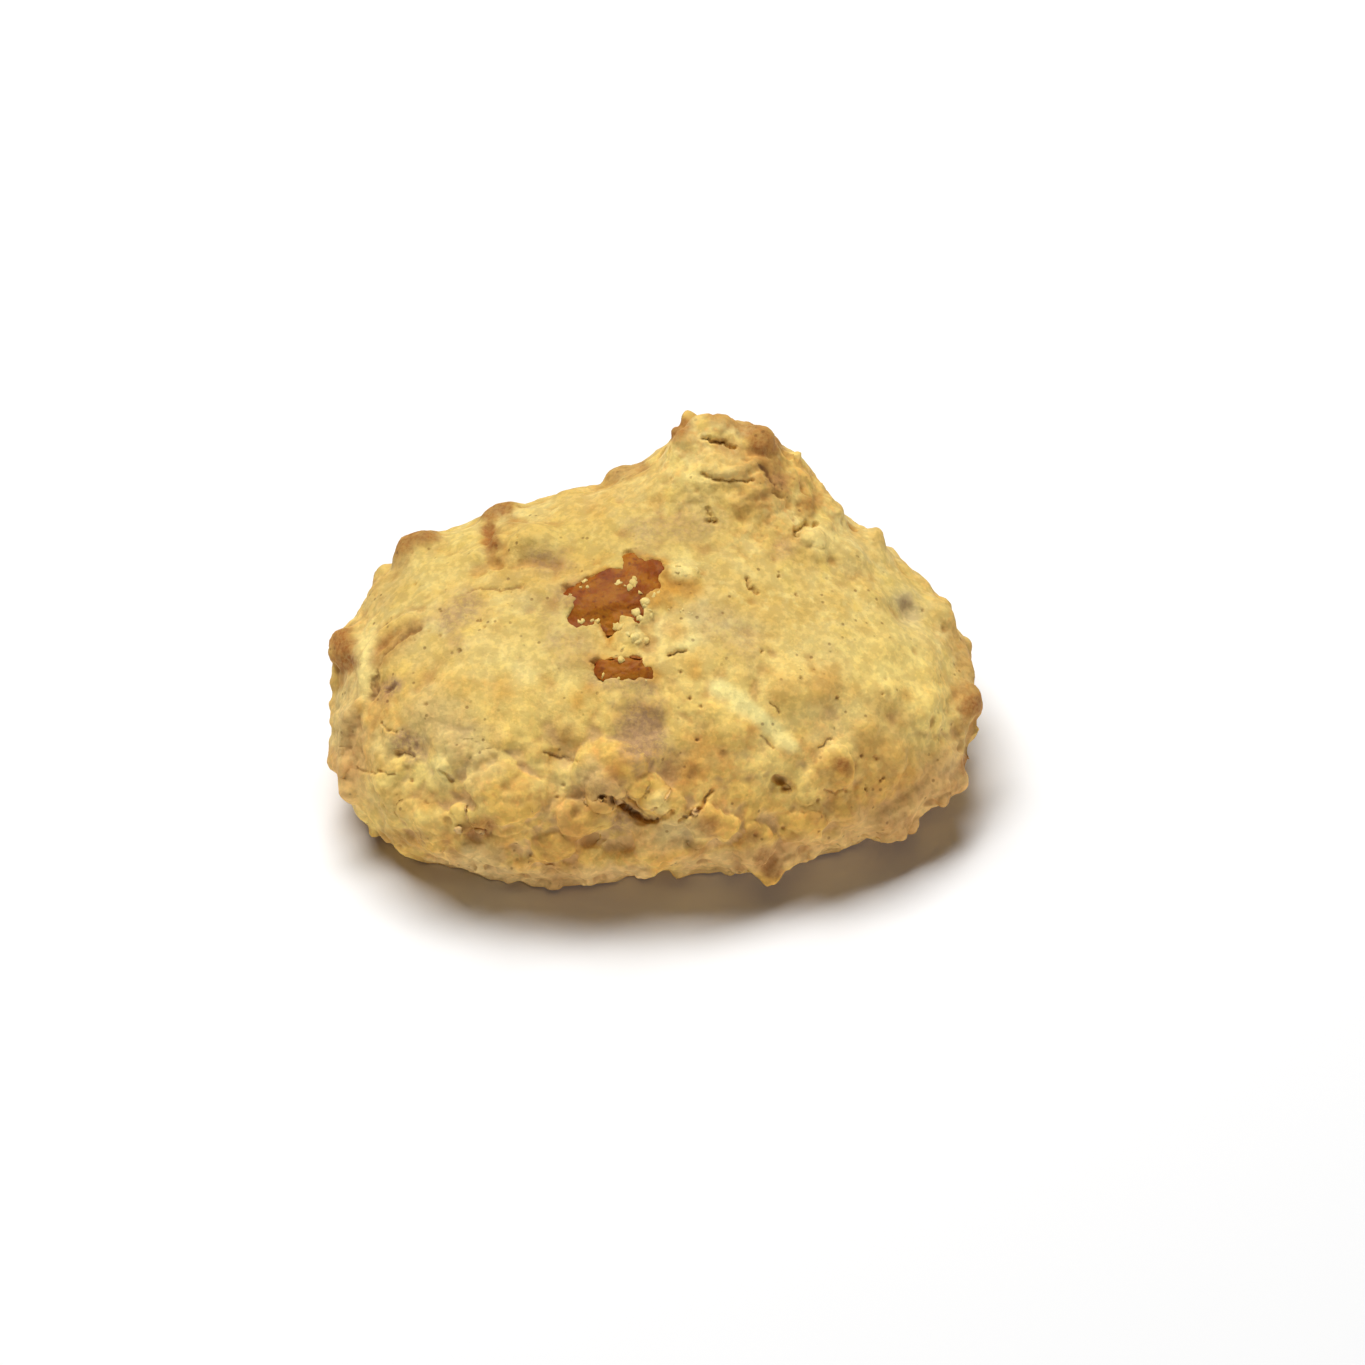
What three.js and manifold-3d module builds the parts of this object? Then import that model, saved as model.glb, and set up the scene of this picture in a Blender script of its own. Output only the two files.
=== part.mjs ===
// Apricot cookie: one craggy mound of baked dough with two pieces of dried apricot set in its top.
//
// Millimetres, +Z up. +X is the cookie's right, and +Y its back, where the tall crag stands.
// The origin is on the flat base, under the middle of the cookie.

import * as THREE from "three";
import { mergeVertices } from "three/addons/utils/BufferGeometryUtils.js";
import Module from "manifold-3d";

const wasm = await Module();
wasm.setup();

// Driving dimensions, in millimetres
const WIDTH = 85; // left to right
const DEPTH = 65; // front to back
const RIM_HEIGHT = 9; // above the base, where the mound is widest
const UNDERCUT = 15; // how far below the rim the mound's round underside would close
const SCOOP_CREASE = 10; // filling where one big lump of dough meets the next
const CRAG_CREASE = 1; // filling where a crag stands on the mound
const CORE_HEIGHT = 14; // of the point inside the mound that every direction is counted from
const NUB_WIDTHS = [3.5, 8]; // narrowest and widest of the small nubs all over the crust
const NUB_RISES = [0.3, 1.5]; // lowest and highest of them
const FIT_GAP = 0.32; // between a piece of apricot and its pocket
const WRINKLE = 0.2; // of the skin of the dried apricot

const NUB_COUNT = 230;
const SKIN_DETAIL = 23; // divisions of each edge of the icosahedron that becomes the crust
const APRICOT_DETAIL = 6; // the same for a piece of apricot
const SEED = 11;

const CORE = new THREE.Vector3(0, 0, CORE_HEIGHT);
const REACH = WIDTH; // a distance from the core that is always outside the cookie

// The big lumps that the scoop of dough is made of: their middles, half sizes and turn about +Z
const SCOOPS = [
  {
    name: "mound",
    at: [0.5, 1.3, RIM_HEIGHT],
    half: [WIDTH / 2 - 1.8, DEPTH / 2 - 3.2, 24],
    under: UNDERCUT,
    square: 2.5,
    spin: 6,
  },
  { name: "left shoulder", at: [-23, 4, 13.5], half: [16, 18.5, 15.2] },
  { name: "front left foot", at: [-21, -10, 10], half: [18, 15, 14], spin: -15 },
  { name: "back ridge", at: [2.5, 10, 18], half: [24, 15, 17] },
  { name: "tall crag", at: [6.8, 16.5, 34.4], half: [5.6, 6.2, 8] },
  { name: "right side of the tall crag", at: [11.5, 16, 30.2], half: [7, 7, 8.6] },
];

// Crags that stand out of the mound. A direction from the core is a turn about +Z from +X and a lift
// above the level. Each crag is so wide and so long across the crust, and rises so far above it.
const CRAGS = [
  { name: "horn on the tall crag", turn: 75, lift: 60, wide: 5, rise: 2.2 },
  { name: "toasted knob on the tall crag", turn: 50, lift: 53, wide: 6, rise: 1.3 },
  { name: "upper flank of the tall crag", turn: 42, lift: 42, wide: 6, rise: 1.5 },
  { name: "lower flank of the tall crag", turn: 33, lift: 34, wide: 7, rise: 1.7 },
  { name: "round lump under the tall crag", turn: 17, lift: 41, wide: 7, rise: 1.3 },
  { name: "brow by the tall crag", turn: 102, lift: 46, wide: 8, long: 6, rise: 1.4 },
  { name: "brow on the left", turn: 142, lift: 33, wide: 6, rise: 1.9 },
  { name: "raised crag", turn: 162, lift: 47, wide: 10, long: 7, rise: 2 },
  { name: "edge crag, back left", turn: 158, lift: 21, wide: 8, rise: 2.4 },
  { name: "knob on the left", turn: 180, lift: 7, wide: 7, rise: 2.2 },
  { name: "lip on the left", turn: -167, lift: 16, wide: 10, long: 4, spin: 50, rise: 1.2 },
  { name: "nub, front left", turn: -146, lift: -5, wide: 4, rise: 1.3 },
  { name: "corner lump, front left", turn: -137, lift: -3, wide: 7, rise: 1 },
  { name: "lump, front left", turn: -127, lift: 7, wide: 8, rise: 1.1 },
  { name: "foot lump, front left", turn: -114, lift: -4, wide: 8, rise: 1.2 },
  { name: "lump left of the crack", turn: -106, lift: 3, wide: 7, rise: 1 },
  { name: "lump above the crack", turn: -100, lift: 15, wide: 9, long: 8, rise: 1.3 },
  { name: "lump right of the crack", turn: -87, lift: 6, wide: 7, rise: 1.1 },
  { name: "lump, front", turn: -75, lift: -2, wide: 8, rise: 1 },
  { name: "foot lump, front", turn: -60, lift: -17, wide: 6, rise: 2.2 },
  { name: "toasted lump, right", turn: -40, lift: 26, wide: 11, long: 7, rise: 1.1 },
  { name: "lump, front right", turn: -43, lift: 7, wide: 6, rise: 1.2 },
  { name: "foot lump, front right", turn: -32, lift: -12, wide: 7, rise: 1.7 },
  { name: "low knob, right", turn: -23, lift: -8, wide: 7, rise: 2.2 },
  { name: "middle knob, right", turn: -16, lift: -7, wide: 8, rise: 1.6 },
  { name: "large knob, right", turn: -6, lift: -1, wide: 8, rise: 1.9 },
  { name: "high knob, right", turn: 3, lift: 3, wide: 5, rise: 1.2 },
  { name: "knob, back right", turn: 11, lift: 9, wide: 6, rise: 2 },
  { name: "edge crag, back right", turn: 26, lift: 22, wide: 7, rise: 1.8 },
];

// Hollows in the crust, given like the crags, but each goes so deep
const HOLLOWS = [
  { name: "hollow, back right", turn: 3, lift: 18, wide: 6, long: 5, deep: 1.3 },
  { name: "hole, front right", turn: -57, lift: 7, wide: 5, deep: 1.5 },
  { name: "crack, front", turn: -97, lift: 5, wide: 7.5, long: 4, spin: -10, deep: 2 },
  { name: "hollow under the crack", turn: -102, lift: -3, wide: 8, long: 4, deep: 1.3 },
  { name: "pit on the left", turn: -147, lift: 9, wide: 5.5, long: 4, deep: 1.1 },
];

// Pieces of dried apricot. Each is so long, wide and thick, and its middle lies so deep under the crust.
// Its torn outline has so many lobes, the first of them turned so far from its length, so pronounced.
const APRICOTS = [
  {
    name: "apricot_large",
    turn: -138,
    lift: 71,
    long: 13,
    wide: 9.5,
    thick: 4.6,
    deep: 1.5,
    spin: 30,
    lobes: 3,
    lobeTurn: 48,
    lobed: 0.12,
  },
  {
    name: "apricot_small",
    turn: -105,
    lift: 44,
    long: 7,
    wide: 3.6,
    thick: 3,
    deep: 0.9,
    spin: 0,
    lobes: 2,
    lobeTurn: 0,
    lobed: 0.06,
  },
];

// An even draw between nought and one, the same on every run
function drawsFrom(seed) {
  let state = seed;
  return () => {
    state = (state * 16807) % 2147483647;
    return state / 2147483647;
  };
}

function directionOf({ turn, lift }) {
  const [round, up] = [THREE.MathUtils.degToRad(turn), THREE.MathUtils.degToRad(lift)];
  return new THREE.Vector3(Math.cos(up) * Math.cos(round), Math.cos(up) * Math.sin(round), Math.sin(up));
}

// How far a point is past a big lump's surface, towards the lump's middle: negative inside
function pastScoop(point, { at, half, under = half[2], square = 2, spin = 0 }) {
  const turn = THREE.MathUtils.degToRad(spin);
  const [east, north, z] = [point.x - at[0], point.y - at[1], point.z - at[2]];
  const x = east * Math.cos(turn) + north * Math.sin(turn);
  const y = north * Math.cos(turn) - east * Math.sin(turn);
  const plan = (Math.abs(x / half[0]) ** square + Math.abs(y / half[1]) ** square) ** (1 / square);
  const size = Math.hypot(plan, z / (z < 0 ? under : half[2]));
  return Math.hypot(x, y, z) * (1 - 1 / size);
}

// The nearer of two surfaces, with the crease between them filled
function fuse(a, b, crease) {
  const near = Math.max(crease - Math.abs(a - b), 0) / crease;
  return Math.min(a, b) - (near * near * crease) / 4;
}

function pastMound(point) {
  return SCOOPS.map((scoop) => pastScoop(point, scoop)).reduce((a, b) => fuse(a, b, SCOOP_CREASE));
}

// The outermost point of a surface on the ray from the core in a direction
function surfacePoint(direction, past) {
  const STEP = 1;
  const HALVINGS = 16;
  const at = (distance) => CORE.clone().addScaledVector(direction, distance);
  let outside = REACH;
  while (past(at(outside - STEP)) > 0 && outside > 2 * STEP) outside -= STEP;
  let inside = outside - STEP;
  for (let i = 0; i < HALVINGS; i++) {
    const middle = (inside + outside) / 2;
    if (past(at(middle)) > 0) outside = middle;
    else inside = middle;
  }
  return at(inside);
}

// A place on the bare mound, with the way out of the crust and two ways across it
function placeOn(spot) {
  const STEP = 0.05;
  const foot = surfacePoint(directionOf(spot), pastMound);
  const slope = ["x", "y", "z"].map((axis) => {
    const beyond = foot.clone();
    beyond[axis] += STEP;
    return pastMound(beyond) - pastMound(foot);
  });
  const out = new THREE.Vector3(...slope).normalize();
  const along = new THREE.Vector3(0, 1, 1).cross(out).normalize();
  along.applyAxisAngle(out, THREE.MathUtils.degToRad(spot.spin ?? 0));
  const across = out.clone().cross(along);
  return { foot, out, along, across };
}

// A crag or a hollow as an egg on its place: a crag's egg stands up out of the crust by its rise, and
// a hollow's reaches down into it by its depth
function eggOn(spot) {
  const PLUMP = 1.6; // half height of an egg for each millimetre of its rise or depth
  const place = placeOn(spot);
  const height = spot.rise ?? spot.deep;
  const level = height * (1 - PLUMP) * (spot.rise ? 1 : -1);
  const middle = place.foot.clone().addScaledVector(place.out, level);
  const half = [spot.wide / 2, (spot.long ?? spot.wide) / 2, height * PLUMP];
  return { ...place, middle, half, hollow: !spot.rise };
}

function pastEgg(point, { middle, half, along, across, out }) {
  const from = point.clone().sub(middle);
  const size = Math.hypot(from.dot(along) / half[0], from.dot(across) / half[1], from.dot(out) / half[2]);
  return from.length() * (1 - 1 / size);
}

// Small nubs all over the crust, spread evenly and then shaken out of line
function scatterNubs() {
  const GOLDEN_TURN = 137.508;
  const draw = drawsFrom(SEED);
  const between = ([low, high]) => low + (high - low) * draw() ** 2;
  const nubs = [];
  for (let i = 0; i < NUB_COUNT; i++) {
    nubs.push({
      turn: i * GOLDEN_TURN + 8 * draw(),
      lift: THREE.MathUtils.radToDeg(Math.asin(1 - (1.45 * (i + draw())) / NUB_COUNT)),
      wide: between(NUB_WIDTHS),
      long: between(NUB_WIDTHS),
      spin: 180 * draw(),
      rise: between(NUB_RISES),
    });
  }
  return nubs;
}

// A closed mesh whose shared vertices are merged, as a solid that can be joined and cut
function solidOf(geometry) {
  const bare = geometry.clone();
  bare.deleteAttribute("normal");
  bare.deleteAttribute("uv");
  const merged = mergeVertices(bare, 1e-4);
  return new wasm.Manifold(
    new wasm.Mesh({
      numProp: 3,
      vertProperties: merged.attributes.position.array,
      triVerts: new Uint32Array(merged.index.array),
    }),
  );
}

function geometryOf(solid) {
  const mesh = solid.getMesh();
  const geometry = new THREE.BufferGeometry();
  geometry.setAttribute("position", new THREE.BufferAttribute(mesh.vertProperties, 3));
  geometry.setIndex(new THREE.BufferAttribute(mesh.triVerts, 1));
  geometry.computeVertexNormals();
  return geometry;
}

// A ball whose every vertex has been moved to where a function puts its direction
function ballMovedBy(detail, move) {
  const ball = new THREE.IcosahedronGeometry(1, detail);
  ball.deleteAttribute("normal");
  ball.deleteAttribute("uv");
  const merged = mergeVertices(ball, 1e-4);
  const places = merged.attributes.position;
  const direction = new THREE.Vector3();
  for (let i = 0; i < places.count; i++) {
    direction.fromBufferAttribute(places, i).normalize();
    places.setXYZ(i, ...move(direction).toArray());
  }
  return merged;
}

// The mound with all its crags, nubs and hollows, cut off flat where it was baked on the tray
function makeCrust() {
  const NEAR = 3; // an egg further from a ray than its size and this much can't reach it
  const eggs = [...CRAGS, ...scatterNubs(), ...HOLLOWS].map(eggOn);
  const skin = ballMovedBy(SKIN_DETAIL, (spread) => {
    const direction = spread.clone().multiply(new THREE.Vector3(WIDTH, DEPTH, WIDTH / 2)).normalize();
    const bare = surfacePoint(direction, pastMound);
    const near = eggs.filter((egg) => egg.foot.distanceTo(bare) < Math.max(...egg.half) + NEAR);
    const pastCrust = (point) =>
      near.reduce((past, egg) => {
        const egged = pastEgg(point, egg);
        return egg.hollow ? -fuse(-past, egged, CRAG_CREASE) : fuse(past, egged, CRAG_CREASE);
      }, pastMound(point));
    return surfacePoint(direction, pastCrust);
  });
  const tray = new THREE.BoxGeometry(2 * REACH, 2 * REACH, REACH).translate(0, 0, -REACH / 2);
  return solidOf(skin).subtract(solidOf(tray));
}

// A piece of apricot, pillow shaped with a lobed outline and a wrinkled skin. Its pocket is the same
// shape, bigger all round and drawn out through the crust.
function makeApricot(piece, { gap = 0, wrinkle = WRINKLE, drawn = 0 } = {}) {
  const { foot, out, along, across } = placeOn(piece);
  const SQUARE = 0.75; // below one, the pillow's corners are filled
  const pillow = (share) => Math.sign(share) * Math.abs(share) ** SQUARE;
  return ballMovedBy(APRICOT_DETAIL, (d) => {
    const round = Math.atan2(d.y, d.x) - THREE.MathUtils.degToRad(piece.lobeTurn);
    const lobe = 1 + piece.lobed * Math.cos(piece.lobes * round);
    const fold = wrinkle * Math.sin(9 * d.x + 4 * d.y) * Math.cos(7 * d.y - 5 * d.z);
    const x = pillow(d.x) * ((piece.long / 2) * lobe + gap) + fold * d.x;
    const y = pillow(d.y) * ((piece.wide / 2) * lobe + gap) + fold * d.y;
    const z = pillow(d.z) * (piece.thick / 2 + gap) + fold * d.z;
    return foot
      .clone()
      .addScaledVector(along, x)
      .addScaledVector(across, y)
      .addScaledVector(out, z - piece.deep + (d.z > 0 ? drawn : 0));
  });
}

function makeDough() {
  const POCKET = { gap: FIT_GAP + WRINKLE, wrinkle: 0, drawn: REACH / 4 };
  return APRICOTS.map((piece) => makeApricot(piece, POCKET)).reduce(
    (crust, pocket) => crust.subtract(solidOf(pocket)),
    makeCrust(),
  );
}

function named(name, geometry, color, roughness) {
  const mesh = new THREE.Mesh(geometry, new THREE.MeshStandardMaterial({ color, roughness, metalness: 0 }));
  mesh.name = name;
  return mesh;
}

const cookie = new THREE.Group();
cookie.add(named("dough", geometryOf(makeDough()), 0xe0bd6c, 0.85));
for (const piece of APRICOTS) {
  cookie.add(named(piece.name, geometryOf(solidOf(makeApricot(piece))), 0xb0662c, 0.4));
}

// Everything is moved so that the origin is under the middle of the dough
const around = new THREE.Box3().setFromObject(cookie);
const middle = around.getCenter(new THREE.Vector3());
for (const mesh of cookie.children) mesh.geometry.translate(-middle.x, -middle.y, -around.min.z);

export default cookie;
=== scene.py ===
# %% [markdown]
# # An apricot cookie
#
# This lesson dresses one baked cookie: a craggy mound of golden dough with two pieces of dried apricot in
# its top. The solids come first, in metres, and stay where they are. Everything made here is laid over
# them, so each step starts by asking what the real thing looks like when it comes out of the oven.

import math
import random

import bmesh
import bpy
import numpy as np
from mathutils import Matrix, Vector, noise
from mathutils.bvhtree import BVHTree
from mathutils.kdtree import KDTree


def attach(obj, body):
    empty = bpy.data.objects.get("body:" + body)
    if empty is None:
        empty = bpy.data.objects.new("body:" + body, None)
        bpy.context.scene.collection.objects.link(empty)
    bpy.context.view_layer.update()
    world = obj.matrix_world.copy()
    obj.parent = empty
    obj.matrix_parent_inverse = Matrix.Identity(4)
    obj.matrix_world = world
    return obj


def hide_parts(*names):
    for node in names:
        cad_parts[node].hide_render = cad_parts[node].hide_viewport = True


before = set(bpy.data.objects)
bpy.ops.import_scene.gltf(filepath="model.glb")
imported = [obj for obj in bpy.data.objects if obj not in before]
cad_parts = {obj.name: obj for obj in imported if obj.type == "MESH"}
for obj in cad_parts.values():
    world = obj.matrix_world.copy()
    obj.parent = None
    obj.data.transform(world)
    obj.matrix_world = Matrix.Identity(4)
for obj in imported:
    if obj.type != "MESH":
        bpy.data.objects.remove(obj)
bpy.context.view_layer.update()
MM = 0.001


def in_mm(place):
    return [round(c / MM, 1) for c in place]


print("solids", sorted(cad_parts))

# %% [markdown]
# ## The camera
#
# The photograph looks down on the cookie by about forty degrees, square to its front, through a long lens,
# so the outline hardly spreads. A camera could be nudged by eye, but working its distance out from the size
# of a millimetre in the photograph puts it right at once. It also gives every pixel of the photograph a line
# of sight, which later tells where on the crust a crack or a toasted spot belongs.

# %% Place the camera
PHOTO_SIDE = 1365
PHOTO_PIXELS_PER_MM = 7.64
LENS_MM, SENSOR_MM = 85, 24
LOOK_DOWN = math.radians(40)
AIM = Vector((3.5, 0, 13.4)) * MM

distance = PHOTO_SIDE / PHOTO_PIXELS_PER_MM * LENS_MM / SENSOR_MM * MM
bpy.ops.object.select_all(action="DESELECT")
bpy.ops.object.camera_add(
    location=AIM + distance * Vector((0, -math.cos(LOOK_DOWN), math.sin(LOOK_DOWN))),
    rotation=(math.pi / 2 - LOOK_DOWN, 0, 0),
)
camera = bpy.context.object
camera.data.lens, camera.data.sensor_width, camera.data.sensor_fit = LENS_MM, SENSOR_MM, "HORIZONTAL"
camera.data.clip_start = 0.01
bpy.context.scene.camera = camera
bpy.context.view_layer.update()
print("camera is", round(distance / MM), "mm away")

# %% [markdown]
# ## The table and the light
#
# The cookie stands on plain white, under one large soft light that hangs above, a little behind and to the
# left, so the shadow falls to the front right. Two low white cards at the front and the right fill the steep
# sides and hardly reach the table, which keeps the shadow dark. A sun lamp would give hard shadow edges, and
# a bright sky would wash the shadow out. The picture is shown without a film curve, so white stays white.

# %% Make the table, the lamps and the sky
PAPER = (0.86, 0.86, 0.86)
LAMPS = {  # place and size in metres, watts
    "soft_box": ((-0.22, 0.34, 1.2), (1, 0.6), 22.4),
    "front_card": ((-0.4, -1.2, 0.06), (1.4, 0.12), 4.5),
    "side_card": ((1.2, -0.3, 0.15), (0.8, 0.3), 5),
}
SKY = 0.005


def aimed_lamp(name, where, size, watts):
    bpy.ops.object.light_add(type="AREA", location=where)
    lamp = bpy.context.object
    lamp.name = name
    lamp.data.shape = "RECTANGLE"
    lamp.data.size, lamp.data.size_y = size
    lamp.data.energy = watts
    lamp.rotation_euler = (AIM - lamp.location).to_track_quat("-Z", "Y").to_euler()


def new_material(name, **inputs):
    """A material with inputs of its shader set by their names, then its tree of nodes and its shader."""
    material = bpy.data.materials.new(name)
    material.use_nodes = True
    shader = material.node_tree.nodes["Principled BSDF"]
    for label, value in inputs.items():
        shader.inputs[label.replace("_", " ")].default_value = value
    return material, material.node_tree, shader


bpy.ops.mesh.primitive_plane_add(size=6, location=(0, 0, 0))
table = bpy.context.object
table.name = "table"
paper, *_ = new_material("white_paper", Base_Color=(*PAPER, 1), Roughness=0.9, Specular_IOR_Level=0.1)
table.data.materials.append(paper)

for name, lamp in LAMPS.items():
    aimed_lamp(name, *lamp)
sky = bpy.data.worlds.new("sky")
sky.use_nodes = True
sky.node_tree.nodes["Background"].inputs["Color"].default_value = (1, 1, 1, 1)
sky.node_tree.nodes["Background"].inputs["Strength"].default_value = SKY
bpy.context.scene.world = sky
bpy.context.scene.view_settings.view_transform = "Standard"
bpy.context.scene.view_settings.look = "None"
print("table and", len(LAMPS), "lamps are up")

# %% [markdown]
# ## The dough's body
#
# Real drop dough is one soft heap that sets as it bakes. The solid already has its form, in flat facets. A
# copy of it could be subdivided, but its triangles are long in places, and the crust needs an even skin to
# model on. So copies of the dough and of the apricot pieces, grown a little so that they fill their pockets,
# are joined and remeshed into one even skin, and the facets are smoothed away. The flat underside needs only
# one face, and the craggy front and the peak get faces half as large.

# %% Helpers for picking and copying
TOUCHING = 0.001 * MM


def pick_only(*pieces):
    bpy.ops.object.select_all(action="DESELECT")
    for piece in pieces:
        piece.select_set(True)
    bpy.context.view_layer.objects.active = pieces[0]


def edit_all(piece):
    """Opens a piece in edit mode with all of it selected."""
    pick_only(piece)
    bpy.ops.object.mode_set(mode="EDIT")
    bpy.ops.mesh.select_all(action="SELECT")


def copy_of(node, name):
    piece = bpy.data.objects.new(name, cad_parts[node].data.copy())
    piece.data.materials.clear()
    bpy.context.scene.collection.objects.link(piece)
    edit_all(piece)
    bpy.ops.mesh.remove_doubles(threshold=TOUCHING)
    bpy.ops.object.mode_set(mode="OBJECT")
    return piece


def apply_new(piece, kind, **settings):
    """Adds a modifier with these settings and applies it."""
    pick_only(piece)
    modifier = piece.modifiers.new(kind.lower(), kind)
    for name, value in settings.items():
        setattr(modifier, name, value)
    bpy.ops.object.modifier_apply(modifier=modifier.name)


print("vertices to copy:", {name: len(node.data.vertices) for name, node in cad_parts.items()})

# %% Copy, join and remesh
SKIN = 0.5 * MM
FILL = 0.9 * MM

dough = copy_of("dough", "cookie_dough")
fillings = [copy_of(node, "filling") for node in ("apricot_large", "apricot_small")]
for filling in fillings:
    edit_all(filling)
    bpy.ops.transform.shrink_fatten(value=FILL)
    bpy.ops.object.mode_set(mode="OBJECT")
pick_only(dough, *fillings)
bpy.ops.object.join()
apply_new(dough, "REMESH", mode="VOXEL", voxel_size=SKIN)
apply_new(dough, "SMOOTH", factor=0.5, iterations=20)
print("even skin of", len(dough.data.vertices), "vertices")

# %% Find what shows in the photograph
def read(piece, what="co"):
    """Places or normals of all vertices, one row each."""
    values = np.empty(len(piece.data.vertices) * 3, np.float32)
    piece.data.vertices.foreach_get(what, values)
    return values.reshape(-1, 3).astype(float)


def pixels_of(places):
    """Where places show in the photograph, as pixels across and down."""
    seen = np.c_[places, np.ones(len(places))] @ np.array(camera.matrix_world.inverted()).T
    scale = PHOTO_SIDE * LENS_MM / SENSOR_MM
    across, up = scale * seen[:, 0] / -seen[:, 2], scale * seen[:, 1] / -seen[:, 2]
    return PHOTO_SIDE / 2 + across, PHOTO_SIDE / 2 - up


def facing(piece):
    """How far each vertex faces the camera, from -1 to 1."""
    to_eye = np.array(camera.location) - read(piece)
    return (read(piece, "normal") * to_eye).sum(1) / np.linalg.norm(to_eye, axis=1)


def enclosed(u, v, outline):
    """Which pixels lie inside an outline."""
    inside = np.zeros(len(u), bool)
    for (u1, v1), (u2, v2) in zip(outline, outline[1:] + outline[:1]):
        if v1 != v2:
            inside ^= ((v1 > v) != (v2 > v)) & (u < u1 + (v - v1) / (v2 - v1) * (u2 - u1))
    return inside


print((facing(dough) > 0).sum(), "vertices face the camera")

# %% Close the underside and split the fine zones
ON_TRAY = 0.2 * MM
FINE_ZONES = (  # outlines in pixels
    ((320, 690), (400, 730), (560, 742), (700, 752), (860, 735), (1000, 680), (1000, 910), (320, 910)),
    ((650, 400), (870, 400), (880, 560), (790, 565), (690, 535), (650, 470)),
)


def pick_faces(wanted):
    """Selects the faces of the crust that a test picks, in edit mode."""
    pick_only(dough)
    bpy.ops.object.mode_set(mode="EDIT")
    bpy.ops.mesh.select_mode(type="FACE")
    bpy.ops.mesh.select_all(action="DESELECT")
    skin = bmesh.from_edit_mesh(dough.data)
    for face in skin.faces:
        face.select = wanted(face)
    bmesh.update_edit_mesh(dough.data)


def back_to_object():
    bpy.ops.mesh.select_mode(type="VERT")
    bpy.ops.object.mode_set(mode="OBJECT")


pick_faces(lambda face: face.normal.z < -0.98 and face.calc_center_median().z < ON_TRAY)
bpy.ops.mesh.dissolve_faces()
back_to_object()
u, v = pixels_of(read(dough))
fine = np.any([enclosed(u, v, outline) for outline in FINE_ZONES], 0) & (facing(dough) > -0.05)
pick_faces(lambda face: all(fine[vertex.index] for vertex in face.verts))
bpy.ops.mesh.subdivide(number_cuts=1, ngon=False)
back_to_object()
print("dough has", len(dough.data.vertices), "vertices")

# %% [markdown]
# ## Swells all over
#
# Dough that is dropped from a spoon settles into soft swells. They could be sculpted one by one, but there
# are too many, so a cloud pattern is pushed through a Displace modifier. The swells are faint on the smooth
# top and strong round the foot. They fade out at the base, which the tray kept flat, so a vertex group
# holds how far each vertex may move.

# %% Helpers for weights and patterns
def fade(values, low, high):
    """0 at low, 1 at high and smooth between them."""
    share = np.clip((values - low) / (high - low), 0, 1)
    return share * share * (3 - 2 * share)


def weigh(piece, name, weights):
    """A vertex group with these weights, kept in sixteen even steps."""
    group = piece.vertex_groups.new(name=name)
    steps = np.round(np.clip(weights, 0, 1) * 16).astype(int)
    for step in range(1, 17):
        group.add(np.flatnonzero(steps == step).tolist(), step / 16, "REPLACE")


def clouds(name, size, hard=False):
    pattern = bpy.data.textures.new(name, "CLOUDS")
    pattern.noise_scale = size
    pattern.noise_type = "HARD_NOISE" if hard else "SOFT_NOISE"
    pattern.noise_depth = 1
    return pattern


def shards(name, size):
    """A pattern of angular cells with creases between them."""
    pattern = bpy.data.textures.new(name, "VORONOI")
    pattern.noise_scale = size
    pattern.weight_1, pattern.weight_2 = -1, 1
    pattern.noise_intensity = 2
    return pattern


def displace(piece, texture, strength, middle=0.5, group=""):
    apply_new(
        piece, "DISPLACE", texture=texture, texture_coords="LOCAL",
        strength=strength, mid_level=middle, vertex_group=group,
    )


print("patterns are kept as textures,", len(bpy.data.textures), "so far")

# %% Weigh the parts of the crust and displace the swells
CALM = (  # smooth patches in pixels: middle across and down, reach across and down
    (900, 640, 75, 90), (520, 670, 90, 50), (420, 620, 60, 50), (760, 620, 90, 50), (870, 775, 90, 45),
)
PEAK = (750, 480, 110, 80)
HALF_WIDE, HALF_DEEP = 41, 30  # of the mound, in mm


def patch_cover(u, v, patch, far, close):
    """1 near the middle of a patch of pixels and 0 outside it, between two shares of its reach."""
    mid_u, mid_v, wide, high = patch
    return fade(-np.hypot((u - mid_u) / wide, (v - mid_v) / high), -far, -close)


def low_at_front(places, low, high):
    """0 on the top and at the back, 1 low down at the front."""
    return fade(-places[:, 1] - 0.7 * places[:, 2], low, high)


def at_rim(places, start):
    """0 inside a share of the mound's reach, 1 at its rim."""
    return fade(np.hypot(places[:, 0] / HALF_WIDE, places[:, 1] / HALF_DEEP), start, 1)


places = read(dough) / MM
off_tray = fade(places[:, 2], 0.4, 2.5)
low_front = low_at_front(places, -16, 12)
low = fade(-places[:, 2], -16, -8)
rim = at_rim(places, 0.75)
u, v = pixels_of(places * MM)
peaked = patch_cover(u, v, PEAK, 1.2, 0.7) * fade(facing(dough), -0.3, 0)
calm = np.max([patch_cover(u, v, patch, 1.3, 0.6) for patch in CALM], 0)
craggy = np.maximum(np.maximum(0.3 + 0.5 * low_front, rim), low) * (1 - 0.45 * calm)
folded = np.maximum(np.maximum(0.25 + 0.75 * low_front, 0.7 * np.maximum(rim, low)), 0.9 * peaked)
weigh(dough, "crust", off_tray * (1 - 0.4 * calm))
weigh(dough, "craggy", off_tray * craggy)
weigh(dough, "folded", off_tray * folded * (1 - 0.6 * calm))
weigh(dough, "crumbly", off_tray * np.maximum(low_front, 0.5 * low) * (1 - 0.7 * calm))
weigh(dough, "flaky", peaked)
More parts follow.
